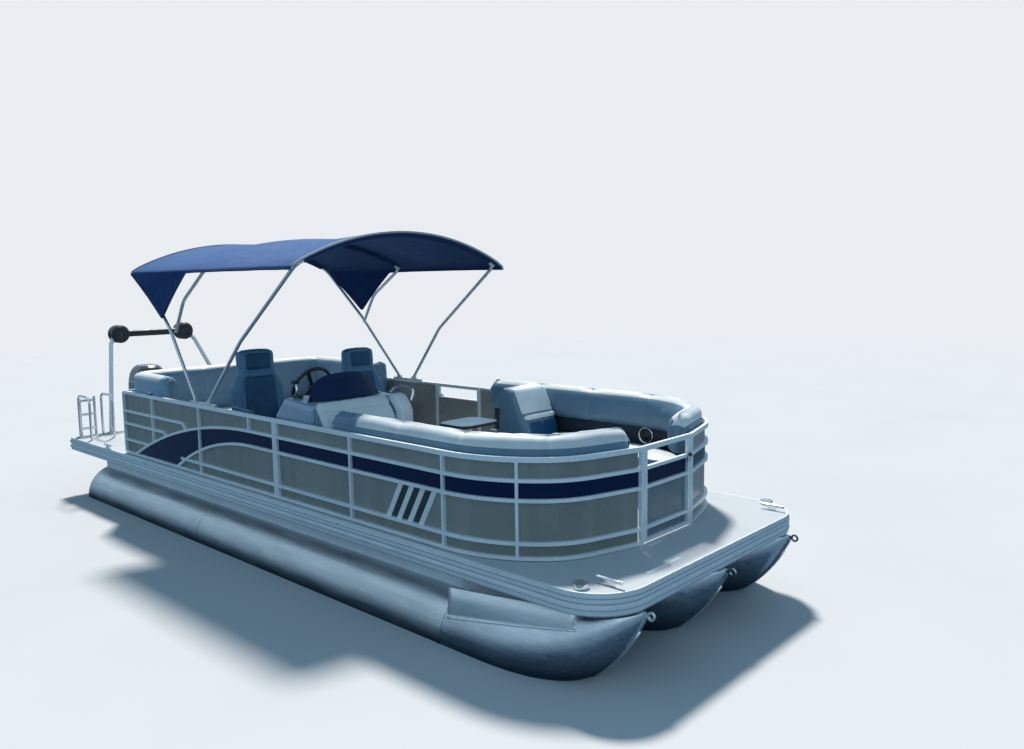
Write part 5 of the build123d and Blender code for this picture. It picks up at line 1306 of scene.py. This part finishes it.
def build_canopy():
    """One continuous sheet over the three bows, its two rear skirts cut from the same cloth."""
    columns = span(CANOPY_AFT + CLOTH_END, CANOPY_FORE - CLOTH_END, 0.035)
    rows = [[Vector((x, y, z)) for y, z in canopy_section(x)] for x in columns]
    count = len(rows[0])
    points, seam, run = [], [], []
    for x, row in zip(columns, rows):
        for j, p in enumerate(row):
            ripple = noise.noise(Vector((p.x * 2.2, p.y * 3.0, p.z))) * 0.004
            free = 1.0 if 3 < j < count - 4 else 0.3
            points.append(p - UP * (abs(ripple) * free))
            nearest, along = nearest_seam(x, p)
            seam.append(nearest)
            run.append(along)
    faces = [(a, d, c, b) for a, b, c, d in bands(len(rows), count, False)]
    cloth = make("canopy_sheet", points, faces, [CANVAS], None, "hull", "navy_canvas")
    give(cloth, seam_a=seam, run_a=run)
    thick = cloth.modifiers.new("thickness", "SOLIDIFY")
    thick.thickness = 0.0022
    thick.offset = -1
    extras = canopy_edges(columns)
    for index, x in enumerate(BOWS):
        canopy_sleeve(f"canopy_sleeve_{index}", x)
    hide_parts("canopy")


# Small parts


def plate(name, place, normal, up, width, height, thick, radius, look, body="hull", slot="black_plastic"):
    """A rounded plate lying on a face, its edge eased."""
    bevel = 0.002
    n, u = Vector(normal).normalized(), Vector(up).normalized()
    side = u.cross(n)
    rows = []
    for inset, rise in ((0.0, 0.0), (0.0, thick - bevel), (bevel * 0.4, thick - bevel * 0.4), (bevel, thick)):
        w, h, r = width / 2 - inset, height / 2 - inset, max(0.0006, radius - inset)
        ring = box_ring(-w, w, -h, h, (r,) * 4, sides=(1,) * 4, corner=6)
        rows.append([Vector(place) + side * a + u * b + n * rise for a, b in ring])
    piece = loft(name, rows, look, body, slot)
    piece.data.polygons.foreach_set("use_smooth", [len(f.vertices) == 4 for f in piece.data.polygons])


def studs(name, places, axis, radius, look):
    """A row of small round screw heads as one piece."""
    sides = 10
    axis, side, other = square_axes(axis)
    points, faces = [], []
    for place in places:
        base = len(points)
        for share, rise in ((1.0, 0.0), (0.92, 0.35), (0.55, 0.6)):
            middle = Vector(place) + axis * radius * rise
            points += [middle + spoke * radius * share for spoke in spokes(side, other, sides)]
        tip = len(points)
        faces += bands(3, sides, start=base) + fan(list(range(tip - sides, tip)), tip)
        points.append(Vector(place) + axis * radius * 0.45)
    face_out(make(name, points, faces, [look], None, "hull", "chrome_bright"))


def speaker(name, place, axis, radius, ring):
    """A round speaker: a bright or black rim, a surround, a cone and a dust cap."""
    rim = [(0.80, -0.004), (0.98, 0.0), (1.0, 0.006), (0.95, 0.012), (0.85, 0.011), (0.80, 0.004)]
    cone = [(0.78, 0.002), (0.62, -0.002), (0.44, 0.002), (0.40, 0.006), (0.30, 0.012), (0.12, 0.016)]
    profile = [(radius * share, along) for share, along in rim + cone] + [(0.0005, 0.017)]
    turned(name, place, axis, profile, [ring, GRILLE], [0] * 5 + [1] * 7)


def surface(node):
    """A ray caster over a CAD node's faces, in the boat's frame."""
    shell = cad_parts[node]
    points = [shell.matrix_world @ v.co for v in shell.data.vertices]
    return BVHTree.FromPolygons(points, [tuple(f.vertices) for f in shell.data.polygons])


def hits(tree, starts, way):
    """Where rays from some points first meet a surface, without those that miss."""
    found = [tree.ray_cast(Vector(start), way)[0] for start in starts]
    return [hit for hit in found if hit is not None]


# Windscreen

# The middle of its foot, half its width, its height and its thickness
SCREEN_X, SCREEN_Y, SCREEN_FOOT = 0.896, -0.745, 1.4705
SCREEN_HALF, SCREEN_TALL, SCREEN_THICK = 0.372, 0.205, 0.008


def screen_place(s, t):
    """A point on the windscreen's front, s across from -1 to 1 and t up from 0 to 1.
    It wraps round and leans back, most at its sides, and its foot follows the console's slope."""
    y = SCREEN_HALF * s * (1 - 0.09 * t)
    high = t * SCREEN_TALL * (1 - abs(s) ** 3.2) ** 0.6 + 0.012 * t
    x = SCREEN_X - 0.65 * y * y - high / 0.234 * (0.071 + 0.435 * y * y)
    return Vector((x, SCREEN_Y + y, SCREEN_FOOT + (SCREEN_X - x) * 0.05 + high))


def windscreen():
    """A domed, tinted screen with a gasket along its foot and a lip along its top."""
    across, rise = 56, 12
    count = rise + 1
    places = [2 * i / across - 1 for i in range(across + 1)]
    points = [
        screen_place(s, k / rise) - FORE * back
        for back in (0.0, SCREEN_THICK) for s in places for k in range(count)
    ]
    side = len(places) * count
    faces = bands(len(places), count, False) + bands(len(places), count, False, side)
    rim = [i * count for i in range(across + 1)]
    rim += [across * count + k for k in range(1, count)]
    rim += [i * count + rise for i in range(across - 1, -1, -1)]
    rim += range(rise - 1, 0, -1)
    faces += [(a, b, b + side, a + side) for a, b in zip(rim, rim[1:] + rim[:1])]
    piece = make("windscreen_tint", points, faces, [SCREEN], slot="tinted_screen")
    face_out(piece)
    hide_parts("windscreen")
    foot = [screen_place(s, 0.0) + Vector((0.001, 0, 0.003)) for s in places]
    tube("windscreen_gasket", foot, 0.006, BLACK, slot="black_plastic")
    lip = [screen_place(s, 1.0) - FORE * 0.004 for s in places[1:-1]]
    tube("windscreen_lip", lip, 0.0048, SCREEN, slot="tinted_screen")


# Fence and hull trim

# The noses' middles, where their skin starts, and heights clear over and under them
TUBE_Y = (node_box("tube_port")[0][1] + node_box("tube_port")[1][1]) / 2
NOSES = ((-TUBE_Y, "starboard"), (0.0, "center"), (TUBE_Y, "port"))
NOSE_START, NOSE_OVER, NOSE_UNDER = node_box("nosecones")[0][0] + 0.03, 0.9, -0.6


def corner_fills():
    """Thin panels that close the fence's two aft corners."""
    for side, label in BOTH_SIDES:
        plate(f"corner_fill_{label}", (-2.458, side * 1.2165, 0.988), (0, side, 0), UP, 0.028, 0.64, 0.004,
              0.002, LOOKS["taupe_panel"], slot="taupe_panel")


def hull_strips():
    """Spray rails along the noses and bright stems up their fronts."""
    tree = surface("nosecones")
    aft, fore = 2.57, 3.62
    for y, label in NOSES:
        for side, edge in BOTH_SIDES:
            columns = span(aft, fore, 0.05)
            heights = [lerp(0.185, 0.372, (x - aft) / (fore - aft)) for x in columns]
            starts = [(x, y + side * 0.45, z) for x, z in zip(columns, heights)]
            path = [hit + PORT * (side * 0.002) for hit in hits(tree, starts, -PORT * side)]
            tube(f"spray_rail_{label}_{edge}", path, 0.008, NOSE_TRIM, slot="brushed_metal", sides=8)
        stem = hits(tree, [(x, y, NOSE_UNDER) for x in span(2.75, 3.93, 0.04)], UP)
        tube(f"stem_{label}", stem, 0.009, NOSE_TRIM, slot="brushed_metal", sides=8)


def nose_shoulders():
    """Bright raised shoulders on the outboard side of the outer noses, up towards the deck."""
    tree = surface("nosecones")
    fore = 3.60
    for side, label in BOTH_SIDES:
        rows = []
        for x in span(NOSE_START, fore, 0.04):
            t = (x - NOSE_START) / (fore - NOSE_START)
            low, high = lerp(0.205, 0.372, t), lerp(0.392, 0.496, t)
            outer = hits(tree, [(x, side * 1.6, low)], -PORT * side)
            if not outer:
                continue
            skin = outer[0].y
            inner = hits(tree, [(x, skin - side * 0.15, NOSE_OVER)], -UP)
            top = inner[0].z + 0.002 if inner else low
            fall = lerp(0.012, 0.03, t)
            ring = [
                (-0.013, low - 0.010), (0.0, low - 0.006), (0.002, low), (-fall * 0.5, lerp(low, high, 0.5)),
                (-fall, high - 0.008), (-fall - 0.010, high), (-0.16, max(top, high - 0.075)),
                (-0.16, min(top, high) - 0.05),
            ]
            rows.append([Vector((x, skin + side * (0.003 + out), z)) for out, z in ring])
        loft(f"nose_shoulder_{label}", rows, NOSE_TRIM)


def nose_risers():
    """The risers' forward ends, which run on over the noses up to the deck's underside."""
    tree = surface("nosecones")
    half, top, ease, sunk = 0.088, 0.529, 0.006, 0.012
    for y, label in NOSES:
        rows = []
        for x in span(2.532, 3.40, 0.06):
            starts = [(max(x, NOSE_START), y + edge, NOSE_OVER) for edge in (-half, half)]
            left, right = (hit.z - sunk for hit in hits(tree, starts, -UP))
            ring = [(-half, left), (-half, top - ease), (ease - half, top)]
            ring += [(half - ease, top), (half, top - ease), (half, right)]
            rows.append([Vector((x, y + dy, z)) for dy, z in ring])
        loft(f"nose_riser_{label}", rows, NOSE_TRIM, smooth=False)


def slat_shadows():
    """Dark sheets between the slanted slats of the fence: the slats' painted shadows."""
    (aft, _, foot), (_, _, head) = node_box("slats")
    skin = node_box("panels_port")[1][1]
    low, high, lean, wide = foot + 0.004, head - 0.004, 0.1425, 0.063
    for side, label in BOTH_SIDES:
        for index in range(3):
            x = aft + 0.052 + 0.117 * index
            face = [(x, low), (x + wide, low), (x + wide + lean, high), (x + lean, high)]
            rows = [[Vector((a, side * out, b)) for a, b in face] for out in (skin + 0.0002, skin + 0.0028)]
            loft(f"slat_gap_{label}_{index}", rows, SLAT_PAINTED_SHADOW, slot="navy_stripe", smooth=False)


# Helm fittings

# The dash's slope, outwards and up, and the console top's
DASH_OUT, DASH_UP = Vector((-0.731, 0.0, 0.682)), Vector((0.682, 0.0, 0.731))
DASH_MIDDLE = Vector((0.489, -0.75, 1.4255))
CONSOLE_UP = (0.087, 0, 0.996)


def dash_place(shift):
    return DASH_MIDDLE + PORT * shift + DASH_OUT * 0.006


def dash():
    """The black dash panel with its three gauges, its display and four switches."""
    plate("dash_panel", DASH_MIDDLE, DASH_OUT, DASH_UP, 0.62, 0.125, 0.007, 0.02, BLACK)
    profile = [(0.043, 0.0), (0.045, 0.004), (0.042, 0.007), (0.037, 0.006), (0.036, 0.003), (0.0005, 0.003)]
    for index, shift in enumerate((-0.11, 0.0, 0.11)):
        place = dash_place(shift)
        turned(f"dash_gauge_{index}", place, DASH_OUT, profile, [CHROME, DIAL], [0] * 4 + [1],
               slot="chrome_bright")
        hub = place + DASH_OUT * 0.0038
        tip = hub + DASH_UP * 0.026 + PORT * (0.012 * (index - 1))
        tube(f"dash_needle_{index}", [hub, tip], 0.0009, WELT, sides=6)
    plate("dash_display", dash_place(0.232), DASH_OUT, DASH_UP, 0.115, 0.085, 0.004, 0.008, DIAL)
    for index in range(4):
        plate(f"dash_switch_{index}", dash_place(-0.192 - 0.029 * index), DASH_OUT, DASH_UP, 0.020, 0.042,
              0.006, 0.004, GRILLE)


def throttle():
    base = Vector((0.60, -1.07, 1.488))
    profile = [(0.045, 0.0), (0.045, 0.02), (0.036, 0.034), (0.0005, 0.036)]
    turned("throttle_base", base, CONSOLE_UP, profile, [BLACK])
    lever = [base + Vector(v) for v in ((0, 0, 0.02), (-0.012, 0, 0.08), (-0.03, 0, 0.135))]
    tube("throttle_lever", lever, 0.008, CHROME, slot="chrome_bright")
    grip = [lever[-1] + PORT * d for d in (-0.03, -0.02, 0.0, 0.02, 0.03)]
    tube("throttle_grip", grip, 0.016, BLACK, slot="black_plastic", sides=14)


def console_fittings():
    """The grab rail by the co-pilot, the console's door with its latch, and two cup rings."""
    rail = [(0.90, -0.335, 1.482), (0.925, -0.315, 1.515), (0.96, -0.300, 1.535), (1.02, -0.292, 1.543),
            (1.10, -0.292, 1.541), (1.155, -0.298, 1.525), (1.180, -0.315, 1.49), (1.185, -0.34, 1.44)]
    tube("console_grab_rail", smooth_path(rail), 0.011, CHROME, slot="chrome_bright", sides=12)
    face = node_box("console")[1][1]
    plate("console_door", (0.72, face + CLEAR, 0.98), PORT, UP, 0.36, 0.50, 0.006, 0.03, CONSOLE_TRIM,
          slot="console_shell")
    plate("console_door_latch", (0.58, face + 0.006, 1.12), PORT, UP, 0.03, 0.07, 0.010, 0.012, BLACK)
    ring = [(0.034, -0.002), (0.047, 0.0), (0.048, 0.003), (0.044, 0.006), (0.036, 0.004), (0.034, 0.001)]
    for index, y in enumerate((-0.40, -0.51)):
        turned(f"cup_ring_{index}", (0.70, y, 1.4865), CONSOLE_UP, ring + [(0.0005, 0.001)],
               [CHROME, BLACK], [0] * 5 + [1], slot="chrome_bright")


# Deck and fence fittings

PLATE_FOOT = DECK - 0.0002
LOCKER_Y, LOCKER_Z = 0.5785, 0.80
LATCH_Z = 1.17
KNOB = [(0.008, 0.0), (0.008, 0.006), (0.014, 0.010), (0.014, 0.018), (0.0005, 0.021)]


def locker(door, latch, x, side, width):
    """A door in a seat's base, facing inwards, and its latch."""
    inwards = -PORT * side
    plate(door, (x, side * LOCKER_Y, LOCKER_Z), inwards, UP, width, 0.20, 0.005, 0.02, LOCKER,
          slot="moulded_base")
    plate(latch, (x, side * (LOCKER_Y - 0.0045), LOCKER_Z + 0.07), inwards, UP, 0.05, 0.022, 0.006,
          0.008, BLACK)


def gate_latch(gate, x, y, out):
    """A bright latch plate with a black knob on a gate."""
    place = Vector((x, y, LATCH_Z))
    plate(f"{gate}_latch", place, out, UP, 0.034, 0.085, 0.008, 0.012, CHROME, gate, "chrome_bright")
    turned(f"{gate}_knob", place + out * 0.007 + UP * 0.015, out, KNOB, [BLACK], None, gate, sides=20)


def side_fittings():
    """On each side: trim screws, a bow speaker and two lockers."""
    screw_y, screw_z = node_box("edge_trim")[1][1] - CLEAR, DECK - 0.021
    for side, label in BOTH_SIDES:
        places = [(x, side * screw_y, screw_z) for x in span(-3.6, 3.5, 0.42)]
        studs(f"trim_screws_{label}", places, PORT * side, 0.0055, CHROME)
        speaker_x = 2.56 if side < 0 else 2.60
        speaker(f"bow_speaker_{label}", (speaker_x, side * 1.1005, 1.09), -PORT * side, 0.076, CHROME)
        for index, x in enumerate((2.05, 2.62)):
            locker(f"bow_locker_{label}_{index}", f"bow_locker_latch_{label}_{index}", x, side, 0.46)


def pod_speakers():
    """A speaker in both faces of each round pod on the arch."""
    low, high = node_box("arch_speakers")
    radius = (high[2] - low[2]) / 2
    for side, label in reversed(BOTH_SIDES):
        for face, x, way in (("front", high[0] + CLEAR, 1), ("back", low[0] - CLEAR, -1)):
            place = (x, side * (high[1] - radius), low[2] + radius)
            speaker(f"pod_{face}_{label}", place, FORE * way, 0.098, BLACK)


def cowl_lines():
    """Two bright lines round the motor's cover, laid on its surface."""
    tree = surface("motor_cowl")
    lo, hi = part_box("motor_cowl")
    ring = spokes(FORE, PORT, 64)
    for index, (z, look) in enumerate(((0.83, CHROME), (1.16, LOOKS["silver_rail"]))):
        middle = Vector(((lo[0] + hi[0]) / 2, (lo[1] + hi[1]) / 2, z))
        loop = [hit + spoke * 0.0015 for spoke in ring for hit in hits(tree, [middle + spoke * 1.5], -spoke)]
        tube(f"cowl_line_{index}", loop, 0.0045, look, "motor", "chrome_bright", True, 8)


def table_edge():
    """A dark rounded edge about the table's top."""
    (aft, right, _), (fore, left, top) = node_box("table")
    inset, thick = 0.001, 0.0125
    ring = box_ring(aft + inset, fore - inset, right + inset, left - inset, (0.099,) * 4,
                    sides=(4, 3, 4, 3), corner=8)
    tube("table_edge", [(x, y, top - thick) for x, y in ring], 0.0128, BLACK, slot="black_plastic",
         closed=True, sides=12)


def deck_details():
    # A pale strip forward of the gate: a painted patch of sunlight through the gate's gap.
    plate("deck_sunlit_strip", (3.83, -0.545, PLATE_FOOT), UP, FORE, 0.39, 0.032, 0.003, 0.006, WHITE_GRIP,
          slot="silver_rail")
    plate("gate_scuff", (3.545, -0.205, PLATE_FOOT), UP, FORE, 0.17, 0.022, 0.003, 0.006, WHITE_GRIP,
          slot="silver_rail")
    side_fittings()
    locker("stern_locker_port", "stern_locker_latch", -1.42, 1, 0.56)
    pod_speakers()
    lens = [(0.020, 0.0), (0.022, 0.003), (0.022, 0.010), (0.017, 0.012), (0.016, 0.026), (0.010, 0.033)]
    turned("rail_light", (-1.854, -1.226, 1.3295), UP, lens + [(0.0005, 0.035)], [BLACK, WHITE_GRIP],
           [0] * 3 + [1] * 3, sides=20)
    _, (bow_x, bow_y, _) = node_box("bow_gate_frame")
    gate_latch("bow_gate", bow_x + CLEAR, bow_y - 0.03, FORE)
    (side_x, _, _), (_, side_y, _) = node_box("side_gate_frame")
    gate_latch("side_gate", side_x + 0.032, side_y + CLEAR, PORT)
    table_edge()
    cowl_lines()


# Floor, and building the boat


def studio_floor(half=200):
    corners = [(-half, -half, 0), (half, -half, 0), (half, half, 0), (-half, half, 0)]
    make("studio_floor", corners, [(0, 1, 2, 3)], [floor_finish()])


chaise_starboard()
chaise_port()
chair("captain")
chair("copilot")
build_canopy()
dash()
throttle()
console_fittings()
deck_details()
windscreen()
corner_fills()
hull_strips()
nose_shoulders()
nose_risers()
slat_shadows()
bow_bolsters()
bow_seats()
stern_seats()
studio_floor()
